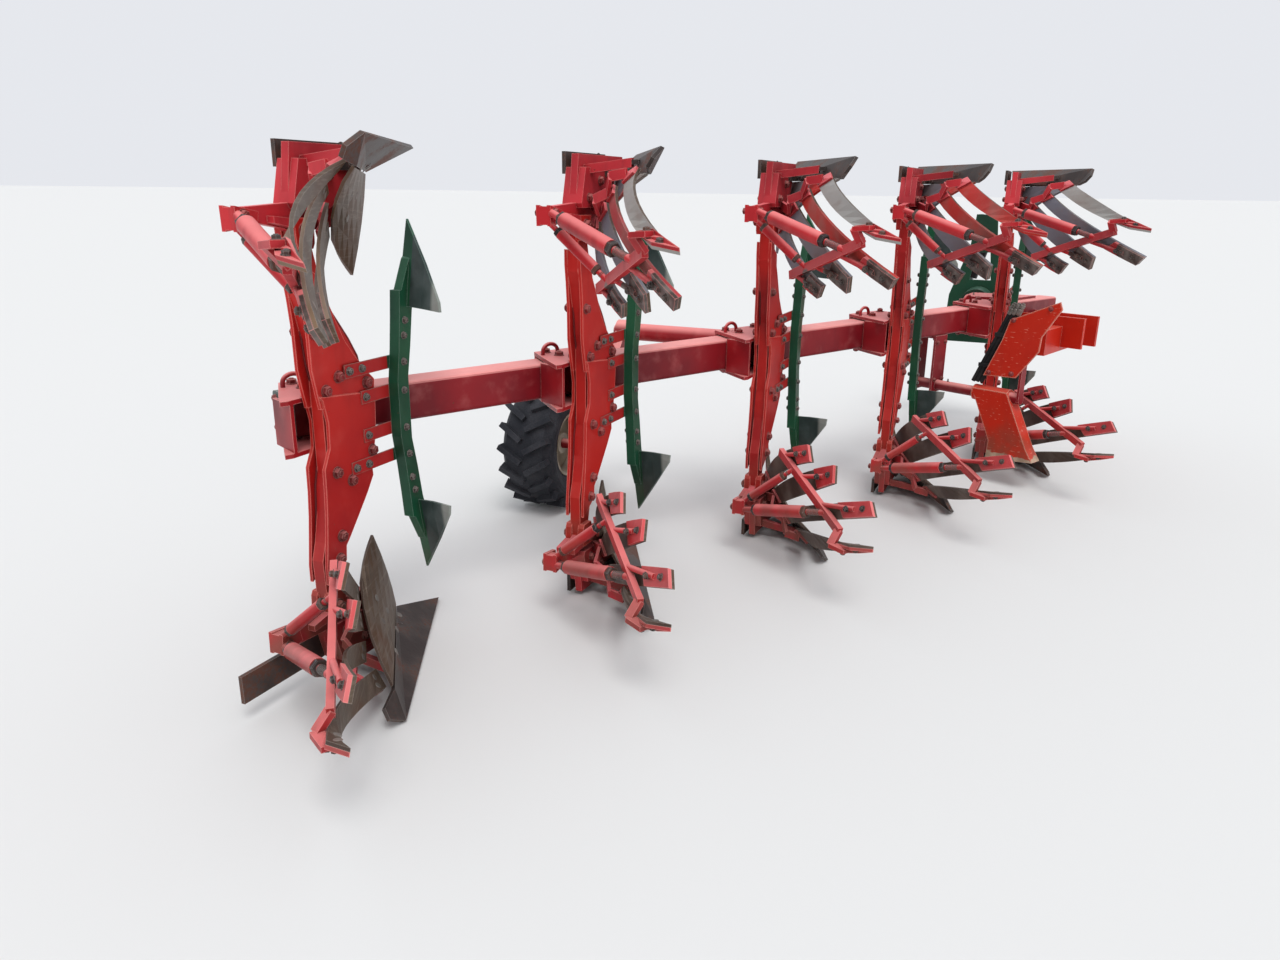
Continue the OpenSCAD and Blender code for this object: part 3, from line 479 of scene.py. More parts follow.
# %% Bare pads on the stays
# The middle of each pad in the lower body: forward and left of the leg, and above the ground.
PADS = [(-0.832, -0.676, 0.446), (-0.790, -0.600, 0.420), (-0.555, -0.450, 0.490),
        (-0.510, -0.400, 0.450), (-0.440, -0.330, 0.525), (-0.400, -0.290, 0.480)]
# A pad ends between these distances from its middle.
PAD_EDGE = (0.062, 0.070)
PAD_DARK = linear(72, 58, 53)
PAD_LIGHT = linear(116, 106, 100)


def folded_place(finish, leg):
    """The place beside a leg, with the upper body folded down on the lower one."""
    middle = beside_leg(leg, 0.0, 0.0, 0.0)
    height = middle.z - abs(finish.part("Z") - middle.z)
    values = {0: finish.part("X") - middle.x, 1: finish.part("Y") - middle.y, 2: height}
    return finish.node("ShaderNodeCombineXYZ", values)


def bare_pads(leg):
    """The pads are bare steel on the upper body, and painted like the stays on the lower one."""
    def cover(finish, colour):
        place = folded_place(finish, leg)
        near = 0.0
        for pad in PADS:
            away = finish.vector_maths("DISTANCE", place, pad)
            near = (1.0 - away.between(*PAD_EDGE)) + near
        steel = finish.mix(finish.noise(20.0).between(0.35, 0.7), PAD_DARK, PAD_LIGHT)
        upper = (finish.part("Z") - beside_leg(leg, 0.0, 0.0, 0.0).z).between(0.0, 0.01)
        return finish.mix(near.limited() * upper, colour, steel)
    return cover


# %% Straps and blades of the skimmers
# The straps lie behind the stalk's rear edge, and left of the face that they turn to the stalk.
STALK_REAR = 0.150
STRAP_FACE = -0.045
# Distances right of the leg between which the stalk turns into the blade, and the blade into its
# paler tip.
BLADE_START = (0.094, 0.098)
TIP_START = (0.19, 0.21)
STRAP_RED = linear(172, 34, 34)
BLADE_DARK = linear(44, 58, 56)
BLADE_LIGHT = linear(70, 82, 80)
TIP_PALE = linear(140, 144, 138)


def steel_blade(leg):
    """The straps to the leg are red, the stalk is green, and the blade is bare steel."""
    def cover(finish, colour):
        beside = finish.part("Y") - beside_leg(leg, 0.0, 0.0, 0.0).y
        behind = beside_leg(leg, STALK_REAR, 0.0, 0.0).x - finish.part("X")
        strap = beside.between(STRAP_FACE - 0.002, STRAP_FACE - 0.001) * behind.between(-0.001, 0.001)
        colour = finish.mix(strap, colour, STRAP_RED)
        blade = (0.0 - beside).between(*BLADE_START)
        tip = (0.0 - beside).between(*TIP_START)
        steel = finish.mix(finish.noise(9.0).between(0.35, 0.65), BLADE_DARK, BLADE_LIGHT)
        return finish.mix(blade, colour, finish.mix(tip, steel, TIP_PALE))
    return cover


# %% Worn front panels and the stand's foot
FOOT_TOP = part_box("parking_stand")[0].z + 0.085
SCRATCHED_RED = linear(232, 150, 128)
RUBBED_RIM = linear(224, 172, 148)
PRIMER = linear(206, 178, 152)


def scratched_panel(finish, colour):
    """A front panel with its rims worn pale and long scratches across it."""
    rim = (finish.edges(0.014) * (0.55 + finish.noise(40.0, 4.0))).between(0.08, 0.16)
    scratched = finish.noise(30.0, 4.0, stretch=(1.0, 1.0, 5.0)).between(0.64, 0.68)
    colour = finish.mix(scratched * 0.6, colour, SCRATCHED_RED)
    return finish.mix(rim * 0.8, colour, RUBBED_RIM)


def worn_foot(finish, colour):
    """The parking stand's foot, rubbed down to bare primer in a ragged band."""
    ragged = finish.part("Z") + 0.09 * finish.noise(14.0, 5.0)
    foot = 1.0 - ragged.between(FOOT_TOP, FOOT_TOP + 0.008)
    return finish.mix(foot, scratched_panel(finish, colour), PRIMER)


# %% Paints with a cover
stays = [weathered_paint(f"stay_red_{leg + 1}", (200, 44, 50), (240, 136, 134), (156, 30, 38),
                         (240, 156, 148), fading_and_top_light=0.9, grime_and_shade=0.85, cover=bare_pads(leg))
         for leg in LEGS]
skimmers = [weathered_paint(f"worn_green_{leg + 1}", (30, 90, 60), (94, 136, 112), (20, 62, 44),
                            (130, 156, 142), fading_and_top_light=0.7, chips=0.7, cover=steel_blade(leg))
            for leg in LEGS]
stand_red = weathered_paint("stand_red", (204, 44, 24), (226, 96, 76), (186, 36, 22), (232, 184, 166),
                            fading_and_top_light=0.6, chips=0.9, grime_and_shade=0.2, cover=worn_foot)
guard_red = weathered_paint("guard_red", (206, 46, 26), (228, 98, 78), (188, 38, 24), (236, 190, 170),
                            fading_and_top_light=0.6, chips=0.9, grime_and_shade=0.3, cover=scratched_panel)
print(len(bpy.data.materials), "finishes in all, the foot is bare below", round(FOOT_TOP, 3))

# %% Give each solid its finish
finishes = {"beam": beam_red, "beam_end_plate": cap_grey, "wheel_bracket": clamp_red, "wheel_arm": beam_red,
            "wheel_rim": rim_cream, "tyre": tyre_black, "turning_frame": clamp_red, "side_arm": front_red,
            "guard_plate": guard_red, "stand_bracket": beam_red, "parking_stand": stand_red,
            "headstock": head_green, "top_link_ears": head_green, "link_cheeks": head_green,
            "cylinder_pin": pin_bright, "cross_shaft": pin_bright, "cylinder_barrel": black_paint,
            "cylinder_rod": chrome, "hoses": hose_black}
for leg in LEGS:
    number = leg + 1
    finishes.update({f"clamp_{number}": clamp_red, f"leg_{number}": leg_red, f"frog_{number}": frog_red,
                     f"shares_{number}": share_dark, f"moldboards_{number}": slats[leg],
                     f"stays_{number}": stays[leg], f"skimmers_{number}": skimmers[leg]})
for name, solid in nodes.items():
    solid.data.materials.clear()
    solid.data.materials.append(finishes[name])
print(len(finishes), "solids have a finish")

# %% [markdown]
# ## Bolts
#
# Hundreds of bolts hold the plough together, all hexagons on round washers. Modelling one and
# copying it by hand would be slow to change, so Geometry Nodes puts one small shape on a list of
# points. Each point carries a direction and a size. Python finds the points by a ray that is
# shot at the solid, so every washer sits flat on the surface that it clamps.


# %% A node tree that stamps one shape on points
class Recipe(Nodes):
    """A Geometry Nodes tree with named inputs."""
    def __init__(self, name, inputs):
        self.tree = bpy.data.node_groups.new(name, "GeometryNodeTree")
        face = self.tree.interface
        face.new_socket("Geometry", in_out="OUTPUT", socket_type="NodeSocketGeometry")
        face.new_socket("Geometry", in_out="INPUT", socket_type="NodeSocketGeometry")
        for title, (kind, value) in inputs.items():
            made = face.new_socket(title, in_out="INPUT", socket_type=kind)
            if value is not None:
                made.default_value = value
        self.entry = self.tree.nodes.new("NodeGroupInput")
        self.exit = self.tree.nodes.new("NodeGroupOutput")

    def given(self, title):
        """An input of the tree."""
        return Mask(self, self.entry.outputs[title])

    def shape(self, kind, height, lift=0.0, **values):
        """A primitive with its foot at lift, in units of the shape's size."""
        values = {key.replace("_", " "): value for key, value in values.items()}
        made = self.node(kind, {**values, "Depth": height})
        middle = 0.0 if kind.endswith("Cone") else height / 2
        return self.node("GeometryNodeTransform", {"Geometry": made, "Translation": (0, 0, lift + middle)})

    def join(self, pieces):
        """Several shapes as one, in their order."""
        made = self.tree.nodes.new("GeometryNodeJoinGeometry")
        for piece in reversed(pieces):
            self.tree.links.new(piece.socket, made.inputs[0])
        return Mask(self, made.outputs[0])

    def end(self, result):
        """Makes the copies real and gives them their finish, which closes the tree."""
        real = self.node("GeometryNodeRealizeInstances", [result])
        painted = self.node("GeometryNodeSetMaterial", {"Geometry": real, "Material": self.given("Finish")})
        self.put(self.exit.inputs[0], painted)
        return self.tree


def stamp_recipe(name, build):
    """A tree that stands the shape from build on each point, turned by up to a sixth of a turn."""
    recipe = Recipe(name, {"Finish": ("NodeSocketMaterial", None), "Scale": ("NodeSocketFloat", 1.0)})
    points = recipe.node("GeometryNodeMeshToPoints", {"Mesh": recipe.given("Geometry")})
    attribute = "GeometryNodeInputNamedAttribute"
    towards = recipe.node(attribute, {"Name": "direction"}, data_type="FLOAT_VECTOR")
    size = recipe.node(attribute, {"Name": "size"}, data_type="FLOAT")
    upright = recipe.node("FunctionNodeAlignRotationToVector", {"Vector": towards}, axis="Z")
    limits = {2: 0.0, 3: 1.05, "Seed": 4}
    angle = recipe.node("FunctionNodeRandomValue", limits, output=1, data_type="FLOAT")
    spin = recipe.node("FunctionNodeAxisAngleToRotation", {"Axis": (0, 0, 1), "Angle": angle})
    turned = recipe.node("FunctionNodeRotateRotation", [upright, spin], rotation_space="LOCAL")
    values = {"Points": points, "Instance": recipe.join(build(recipe)), "Rotation": turned,
              "Scale": size * recipe.given("Scale")}
    return recipe.end(recipe.node("GeometryNodeInstanceOnPoints", values))


def nut_and_washer(recipe):
    """A washer, a nut with a bevelled top and the bolt's end, for a nut one unit wide."""
    disc = "GeometryNodeMeshCylinder"
    cone = "GeometryNodeMeshCone"
    return [recipe.shape(disc, 0.09, Vertices=18, Radius=0.70),
            recipe.shape(disc, 0.40, 0.09, Vertices=6, Radius=0.577),
            recipe.shape(cone, 0.08, 0.49, Vertices=6, Radius_Bottom=0.577, Radius_Top=0.47),
            recipe.shape(disc, 0.12, 0.55, Vertices=12, Radius=0.28)]


def plough_bolt_head(recipe):
    """A round head that is sunk in the steel and stands only a little proud."""
    cone = "GeometryNodeMeshCone"
    return [recipe.shape(cone, 0.10, -0.06, Vertices=16, Radius_Bottom=0.5, Radius_Top=0.42)]


nut_recipe = stamp_recipe("nut and washer", nut_and_washer)
head_recipe = stamp_recipe("plough bolt head", plough_bolt_head)
print("trees:", [tree.name for tree in bpy.data.node_groups])

# %% Find the surface that a bolt sits on
surfaces = {}


def surface(name):
    """A solid's surface for casting rays at, built once."""
    if name not in surfaces:
        mesh = nodes[name].data
        faces = [face.vertices for face in mesh.polygons]
        surfaces[name] = BVHTree.FromPolygons([vertex.co for vertex in mesh.vertices], faces)
    return surfaces[name]


def seat(name, place, outwards, reach=0.25):
    """Where a line that comes from outside to place first meets a solid, and how it faces.

    None where it meets nothing, or a face that looks more than about 50 degrees away.
    """
    outwards = Vector(outwards).normalized()
    hit, normal, _, _ = surface(name).ray_cast(Vector(place) + outwards * reach, -outwards, 2 * reach)
    if hit is None or normal.dot(outwards) < 0.6:
        return None
    return hit, normal


class Seats:
    """Bolt places for one mesh, gathered one by one."""
    def __init__(self):
        self.found = []
        self.missed = 0

    def add(self, name, place, outwards, size, reach=0.25):
        """Seats a bolt on a solid, or counts it as missed."""
        seated = seat(name, place, outwards, reach)
        if seated is None:
            self.missed += 1
        else:
            self.found.append((*seated, size))


def link(name, mesh):
    """A new object in the scene."""
    piece = bpy.data.objects.new(name, mesh)
    bpy.context.scene.collection.objects.link(piece)
    return piece


def applied(piece, tree, values):
    """Runs a tree on a piece and gives the result as a plain mesh."""
    modifier = piece.modifiers.new("recipe", "NODES")
    modifier.node_group = tree
    for item in tree.interface.items_tree:
        if item.in_out == "INPUT" and item.name in values:
            modifier[item.identifier] = values[item.name]
    seen = piece.evaluated_get(bpy.context.evaluated_depsgraph_get())
    mesh = bpy.data.meshes.new_from_object(seen)
    piece.modifiers.clear()
    piece.data = mesh
    return piece


def stamped(name, seats, tree, finish, body, scale=1.0):
    """One piece of all the seats, each with the shape of a tree on it."""
    mesh = bpy.data.meshes.new(name)
    mesh.from_pydata([hit for hit, _, _ in seats.found], [], [])
    facing = mesh.attributes.new("direction", "FLOAT_VECTOR", "POINT")
    facing.data.foreach_set("vector", [value for _, normal, _ in seats.found for value in normal])
    sizes = mesh.attributes.new("size", "FLOAT", "POINT")
    sizes.data.foreach_set("value", [size for _, _, size in seats.found])
    piece = applied(link(name, mesh), tree, {"Finish": finish, "Scale": scale})
    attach(piece, body)
    print(name, len(seats.found), "placed,", seats.missed, "missed,", len(piece.data.polygons), "faces")


# %% [markdown]
# ### Bolts of the legs and clamps
#
# Each cheek plate is bolted through the shank, and the skimmer's straps are bolted over it. The
# clamp plates are drawn together round the beam by long bolts at their corners. Every bolt could
# have its own line, but the legs are alike, so one list and a loop serve all five.

# %% Leg, clamp and frog bolts
LEFT = Vector((0.0, 1.0, 0.0))
RIGHT = Vector((0.0, -1.0, 0.0))
UP = Vector((0.0, 0.0, 1.0))
# The upper body of a leg is its half 1, and the lower one is its half -1.
HALVES = (1, -1)
# Forward of the leg, and above the beam's middle.
CHEEK_BOLTS = [(-0.081, 0.150), (-0.142, 0.115), (0.050, 0.110), (-0.170, 0.300), (-0.129, -0.154),
               (-0.063, -0.197), (-0.132, -0.370), (-0.150, -0.445), (0.048, -0.120)]
# Forward of the leg, and out from the beam's middle towards the half's own body.
SHANK_BOLT = (-0.176, 0.602)
FROG_BOLTS = [(-0.150, 0.700), (-0.060, 0.760), (-0.010, 0.700)]
ANCHOR_BOLT = (-0.392, 0.650)
# Along the beam and to its left, through the clamp's plates, and along it and up, on its web.
CLAMP_BOLTS = [(-0.107, 0.115), (-0.107, 0.205), (0.090, 0.115), (0.090, 0.205)]
WEB_BOLTS = [(-0.120, -0.040), (-0.120, 0.040), (0.110, -0.040), (0.110, 0.040)]
leg_nuts = Seats()
for leg in LEGS:
    number = leg + 1
    for x, z in CHEEK_BOLTS:
        for side in (LEFT, RIGHT):
            leg_nuts.add(f"leg_{number}", beside_leg(leg, x, 0, z), side, 0.030)
    for u, v in CLAMP_BOLTS:
        for side in (UP, -UP):
            leg_nuts.add(f"clamp_{number}", along_beam(leg, u, v, 0), side, 0.030)
    for half in HALVES:
        for side in (LEFT, RIGHT):
            x, out = SHANK_BOLT
            leg_nuts.add(f"leg_{number}", beside_leg(leg, x, 0, half * out), side, 0.036)
            for x, out in FROG_BOLTS:
                leg_nuts.add(f"frog_{number}", beside_leg(leg, x, 0, half * out), side, 0.026)
            x, out = ANCHOR_BOLT
            leg_nuts.add(f"stays_{number}", beside_leg(leg, x, 0, half * out), side, 0.026)
    for u, z in WEB_BOLTS:
        leg_nuts.add(f"clamp_{number}", along_beam(leg, u, 0.2, z), BEAM_SIDE, 0.024)
stamped("leg_nuts", leg_nuts, nut_recipe, shaded_bolt_red, "frame", 0.98)

# %% Skimmer bolts, along the stalk, through its straps and through its blade
FORWARD = Vector((1.0, 0.0, 0.0))
# Forward of the leg, and out from the beam's middle.
STALK_BOLTS = [(0.179, 0.065), (0.186, 0.162), (0.194, 0.250), (0.205, 0.300)]
STRAP_BOLTS = [(0.030, 0.065), (-0.040, 0.162), (0.020, 0.162)]
# Left of the leg, and out from the beam's middle.
BLADE_BOLTS = [(-0.075, 0.410), (-0.110, 0.400)]
skimmer_nuts = Seats()
for leg in LEGS:
    name = f"skimmers_{leg + 1}"
    for half in HALVES:
        for x, out in STALK_BOLTS:
            for side in (LEFT, RIGHT):
                skimmer_nuts.add(name, beside_leg(leg, x, -0.065, half * out), side, 0.022)
        for x, out in STRAP_BOLTS:
            skimmer_nuts.add(name, beside_leg(leg, x, -0.045, half * out), RIGHT, 0.024)
        for y, out in BLADE_BOLTS:
            skimmer_nuts.add(name, beside_leg(leg, 0.20, y, half * out), FORWARD, 0.020)
stamped("skimmer_nuts", skimmer_nuts, nut_recipe, skimmer_bolts, "frame", 0.85)

# %% [markdown]
# ### Bolts of the slats and shares
#
# Soil slides over the front of a slat, so its bolts have flat round heads that sit nearly
# flush, and the nuts are behind. A slat is a curved strip between two bent edges. The same
# two edges as in the solid's source give each bolt's place and the direction it points in.

# %% Slat bolts
# The lower and the upper edge of each slat in the lower body, from the share to the beam. Three
# points pull an edge into its bend: forward and left of the leg, and above the ground.
SLAT_EDGES = [
    (((-0.274, -0.298, 0.079), (-0.708, -0.427, 0.170), (-0.874, -0.687, 0.314)),
     ((-0.236, -0.229, 0.109), (-0.588, -0.376, 0.227), (-0.857, -0.594, 0.301))),
    (((-0.248, -0.203, 0.132), (-0.561, -0.330, 0.259), (-0.859, -0.689, 0.426)),
     ((-0.177, -0.144, 0.162), (-0.458, -0.265, 0.293), (-0.805, -0.663, 0.467))),
    (((-0.160, -0.125, 0.190), (-0.410, -0.270, 0.318), (-0.580, -0.470, 0.452)),
     ((-0.110, -0.075, 0.225), (-0.310, -0.190, 0.388), (-0.540, -0.460, 0.517))),
    (((-0.100, -0.065, 0.245), (-0.300, -0.160, 0.420), (-0.475, -0.345, 0.500)),
     ((-0.060, -0.030, 0.290), (-0.215, -0.090, 0.470), (-0.410, -0.315, 0.555)))]
# Fractions of a slat's length and of its width.
SLAT_BOLTS = [(0.05, 0.3), (0.05, 0.7), (0.86, 0.5), (0.95, 0.5)]


def bent(points, along):
    """A place along an edge, from 0 at its first point to 1 at its last."""
    first, middle, last = (Vector(point) for point in points)
    return (1 - along) ** 2 * first + 2 * along * (1 - along) * middle + along ** 2 * last


def on_slat(edges, along, across):
    """A place on a slat and the direction that its back faces."""
    low, high = (bent(edge, along) for edge in edges)
    before = (bent(edges[0], along - 0.01) + bent(edges[1], along - 0.01)) / 2
    after = (bent(edges[0], along + 0.01) + bent(edges[1], along + 0.01)) / 2
    return low.lerp(high, across), (after - before).cross(high - low).normalized()


def in_body(leg, half, vector, direction=False):
    """Turns a place of the lower body, or a direction there, into one of the given half."""
    x, y, z = vector
    if direction:
        return Vector((x, y, -half * z))
    return beside_leg(leg, x, y, half * (BEAM_HEIGHT - z))


slat_heads = Seats()
slat_nuts = Seats()
for leg in LEGS:
    for half in HALVES:
        for edges in SLAT_EDGES:
            for along, across in SLAT_BOLTS:
                place, back = on_slat(edges, along, across)
                place = in_body(leg, half, place)
                back = in_body(leg, half, back, direction=True)
                slat_heads.add(f"moldboards_{leg + 1}", place, -back, 0.026, reach=0.05)
                if along > 0.5:
                    slat_nuts.add(f"stays_{leg + 1}", place, back, 0.024, reach=0.06)
stamped("slat_heads", slat_heads, head_recipe, pin_bright, "frame")
stamped("slat_nuts", slat_nuts, nut_recipe, bolt_dark, "frame", 0.8)

# %% Share and breast bolts
# Forward and left of the leg, and above the ground, in the lower body. No face of the share looks
# forward at its last bolt, so that one gets only its nut.
SHARE_BOLTS = [(0.16, -0.01, 0.085), (0.05, -0.08, 0.082), (-0.09, -0.18, 0.078), (-0.20, -0.25, 0.076)]
BREAST_BOLTS = [(0.02, -0.06, 0.16), (-0.06, -0.10, 0.16), (-0.02, -0.06, 0.23)]
SHARE_FRONT = Vector((0.40, -0.66, 0.63))
share_heads = Seats()
share_nuts = Seats()
for leg in LEGS:
    for half in HALVES:
        facing = in_body(leg, half, SHARE_FRONT, direction=True)
        for bolt in SHARE_BOLTS:
            place = in_body(leg, half, bolt)
            share_heads.add(f"shares_{leg + 1}", place, facing, 0.030)
            share_nuts.add(f"shares_{leg + 1}", place, -facing, 0.024)
        for bolt in BREAST_BOLTS:
            share_heads.add(f"moldboards_{leg + 1}", in_body(leg, half, bolt), facing, 0.026)
stamped("share_heads", share_heads, head_recipe, pin_bright, "frame")
stamped("share_nuts", share_nuts, nut_recipe, bolt_dark, "frame")

# %% Bolts of the frame's other pieces
BACK = -BEAM_DIRECTION
FRONT_LEG = LEGS[-1]
# Left of the beam, and above its middle.
GUARD_BOLTS = [(-0.250, -0.235), (-0.385, -0.225), (-0.360, 0.070), (-0.560, 0.150)]
frame_nuts = Seats()
for v in (0.110, 0.210):
    for z in (-0.050, 0.050):
        frame_nuts.add("beam_end_plate", along_beam(0, -0.15, v, z), BACK, 0.022)
wheel_foot = along_beam(2, 0.170, 0.24, 0.0) + 0.075 * BEAM_DIRECTION
for z in (-0.075, 0.075):
    frame_nuts.add("wheel_bracket", wheel_foot + z * UP, BEAM_SIDE, 0.026)
for v, z in GUARD_BOLTS:
    for side in (BEAM_DIRECTION, BACK):
        frame_nuts.add("guard_plate", along_beam(FRONT_LEG, -0.518, v, z), side, 0.024)
for u in (-0.520, -0.440):
    for v in (0.110, 0.210):
        frame_nuts.add("stand_bracket", along_beam(FRONT_LEG, u, v, -0.09), -UP, 0.024)
    for z in (-0.110, -0.330):
        for side in (BEAM_SIDE, -BEAM_SIDE):
            frame_nuts.add("stand_bracket", along_beam(FRONT_LEG, u, 0.16, z), side, 0.022)
for u in (0.435, 0.625):
    for v in (-0.05, 0.02):
        for side in (BEAM_DIRECTION, BACK):
            frame_nuts.add("side_arm", along_beam(FRONT_LEG, u, v, -0.10), side, 0.024)
stamped("frame_nuts", frame_nuts, nut_recipe, shaded_bolt_red, "frame", 0.85)

# %% [markdown]
# ### Lock nuts and wheel nuts
#
# The stays are threaded rods in long sleeves, so that each slat's tail can be set. A flat
# lock nut holds each end of a sleeve. It has no washer, so it gets its own small shape on the
# same kind of tree, and its places lie on the rods' middle lines. The nuts of the wheel and of
# the headstock's bearing stand in circles, so their places come from angles.

# %% Lock nuts of the stays
def lock_nut(recipe):
    """A thin nut with one bevelled rim, one unit wide."""
    disc = "GeometryNodeMeshCylinder"
    cone = "GeometryNodeMeshCone"
    return [recipe.shape(disc, 0.40, Vertices=6, Radius=0.577),
            recipe.shape(cone, 0.07, 0.40, Vertices=6, Radius_Bottom=0.577, Radius_Top=0.50)]


lock_recipe = stamp_recipe("lock nut", lock_nut)
# Ends of the bar that carries the slats, and the stays' anchor, in the lower body.
BAR_TOP = Vector((-0.300, -0.152, 0.482))
BAR_END = Vector((-0.772, -0.535, 0.314))
ANCHOR = Vector((-0.400, -0.013, 0.218))
SLEEVE_START = 0.2
# Both ends of each stay, the fraction of its length where its sleeve ends, and its lock nuts' width.
STAYS = [(ANCHOR, BAR_TOP.lerp(BAR_END, 0.78), 0.76, 0.046),
         (ANCHOR + Vector((-0.006, 0.0, 0.034)), BAR_TOP.lerp(BAR_END, 0.24), 0.78, 0.034)]
lock_nuts = Seats()
for leg in LEGS:
    for half in HALVES:
        for start, end, sleeve_end, size in STAYS:
            for along, sign in [(SLEEVE_START, -1), (sleeve_end, 1)]:
                place = in_body(leg, half, start.lerp(end, along))
                direction = in_body(leg, half, sign * (end - start).normalized(), direction=True)
                lock_nuts.found.append((place, direction, size))
stamped("lock_nuts", lock_nuts, lock_recipe, bolt_dark, "frame")

# %% Wheel nuts
WHEEL_STUDS = 6
STUD_CIRCLE = 0.085
wheel_nuts = Seats()
for count in range(WHEEL_STUDS):
    angle = count * math.tau / WHEEL_STUDS
    place = WHEEL + STUD_CIRCLE * Vector((math.cos(angle), 0.0, math.sin(angle)))
    wheel_nuts.add("wheel_rim", place, LEFT, 0.024)
stamped("wheel_nuts", wheel_nuts, nut_recipe, bolt_dark, "wheel")

# %% Headstock nuts, round the turnover bearing and at its lower corners
TURN_AXIS = Vector((2.7445, -0.5200, BEAM_HEIGHT))
BEARING_BOLTS = 8
BEARING_CIRCLE = 0.115
head_nuts = Seats()
for count in range(BEARING_BOLTS):
    angle = (count + 0.5) * math.tau / BEARING_BOLTS
    place = TURN_AXIS + BEARING_CIRCLE * Vector((0.0, math.cos(angle), math.sin(angle)))
    head_nuts.add("headstock", place, FORWARD, 0.024)
for y in (-0.17, 0.17):
    head_nuts.add("headstock", TURN_AXIS + Vector((0, y, -0.12)), FORWARD, 0.024)
stamped("head_nuts", head_nuts, nut_recipe, bolt_dark, "headstock")

# %% [markdown]
# ## Weld seams
#
# Each leg is welded up from plates, and a hand-laid seam is a string of small overlapping
# ripples. It could be a bump in the paint, but that would be flat at the seam's outline. A path
# with a round profile gives the seam, and a radius that rises and falls along it gives the
# ripples. The tree takes the profile's size and the ripple's length as inputs.

# %% Seam recipe
seam_recipe = Recipe("weld seam", {"Finish": ("NodeSocketMaterial", None),
                                   "Radius": ("NodeSocketFloat", 0.004),
                                   "Ripple": ("NodeSocketFloat", 0.004)})
path = seam_recipe.node("GeometryNodeMeshToCurve", {"Mesh": seam_recipe.given("Geometry")})
steps = {"Curve": path, "Length": seam_recipe.given("Ripple") * 0.5}
path = seam_recipe.node("GeometryNodeResampleCurve", steps, mode="LENGTH")
index = seam_recipe.node("GeometryNodeInputIndex")
swell = seam_recipe.node("ShaderNodeMath", [index, 2.0], operation="MODULO") * 0.22 + 0.85
wander = seam_recipe.node("ShaderNodeTexNoise", {"Scale": 60.0}) * 0.5
thickness = swell + wander - 0.25
path = seam_recipe.node("GeometryNodeSetCurveRadius", {"Curve": path, "Radius": thickness})
circle = {"Resolution": 6, "Radius": seam_recipe.given("Radius")}
profile = seam_recipe.node("GeometryNodeCurvePrimitiveCircle", circle)
sweep = {"Curve": path, "Profile Curve": profile, "Fill Caps": True}
seam_tree = seam_recipe.end(seam_recipe.node("GeometryNodeCurveToMesh", sweep))
print(seam_tree.name, len(seam_tree.nodes), "nodes")

# %% Seams of the legs and clamps
# Edges of a leg's lower core, forward of the leg and above the beam's middle.
CORE_REAR = [(-0.130, -0.02), (-0.134, -0.090), (-0.160, -0.200), (-0.172, -0.330), (-0.170, -0.430)]
CORE_FRONT = [(0.066, -0.02), (0.056, -0.090), (0.030, -0.200), (-0.006, -0.261), (-0.096, -0.384)]
# The lower core, then the upper one as its mirror image, with how far from the middle seams run.
CORES = [(1, 0.026), (-1, 0.020)]
seams = []
for leg in LEGS:
    for flip, y in CORES:
        for edge in (CORE_REAR, CORE_FRONT):
            for side in (1, -1):
                seams.append([beside_leg(leg, x, side * y, flip * z) for x, z in edge])
    for z in (0.0755, -0.0755):
        seams.append([along_beam(leg, u, 0.2455, z) for u in (-0.130, 0.125)])
mesh = bpy.data.meshes.new("seams")
verts = [point for line in seams for point in line]
edges = []
first = 0
for line in seams:
    edges += [(first + step, first + step + 1) for step in range(len(line) - 1)]
    first += len(line)
mesh.from_pydata(verts, edges, [])
seam_inputs = {"Finish": shaded_bolt_red, "Radius": 0.004, "Ripple": 0.007}
weld_seams = applied(link("weld_seams", mesh), seam_tree, seam_inputs)
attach(weld_seams, "frame")
print("weld_seams", len(seams), "lines,", len(weld_seams.data.polygons), "faces")

# %% [markdown]
# ## Threads
#
# The stays' rods are threaded, so that the slats' tails can be moved in and out. A thread could
# be one long helix, but a row of small ridges looks the same from a step away. It needs only
# the tree that stamps the nuts, and a few dozen faces for each turn.

# %% Threads on the stays' rods
def thread_ridge(recipe):
    """One turn of a thread as a ring, for a rod one unit across."""
    cone = "GeometryNodeMeshCone"
    return [recipe.shape(cone, 0.08, 0.00, Vertices=12, Radius_Bottom=0.50, Radius_Top=0.56),
            recipe.shape(cone, 0.08, 0.08, Vertices=12, Radius_Bottom=0.56, Radius_Top=0.50)]


thread_recipe = stamp_recipe("thread ridge", thread_ridge)
ROD_WIDTHS = (0.0262, 0.0202)
THREAD_PITCH = 0.005
# Plain lengths of a rod after its sleeve, under the lock nut, and before its end in the bar.
NUT_LENGTH = 0.028
END_LENGTH = 0.030
threads = Seats()
for leg in LEGS:
    for half in HALVES:
        for (start, end, sleeve_end, _), width in zip(STAYS, ROD_WIDTHS):
            length = (end - start).length
            direction = in_body(leg, half, (end - start).normalized(), direction=True)
            along = sleeve_end * length + NUT_LENGTH
            while along < length - END_LENGTH:
                place = in_body(leg, half, start.lerp(end, along / length))
                threads.found.append((place, direction, width))
                along += THREAD_PITCH
stamped("threads", threads, thread_recipe, bolt_dark, "frame")

# %% [markdown]
# ## Caps and fittings
#
# Small turned parts finish the pivots: a dust cap on the wheel's hub, grease nipples, hose ends
# and the cylinder's ports. Each is a profile spun round a line. A screw modifier could spin it
# as well, but a few lines of Python give clean closed poles and let many copies share one mesh.


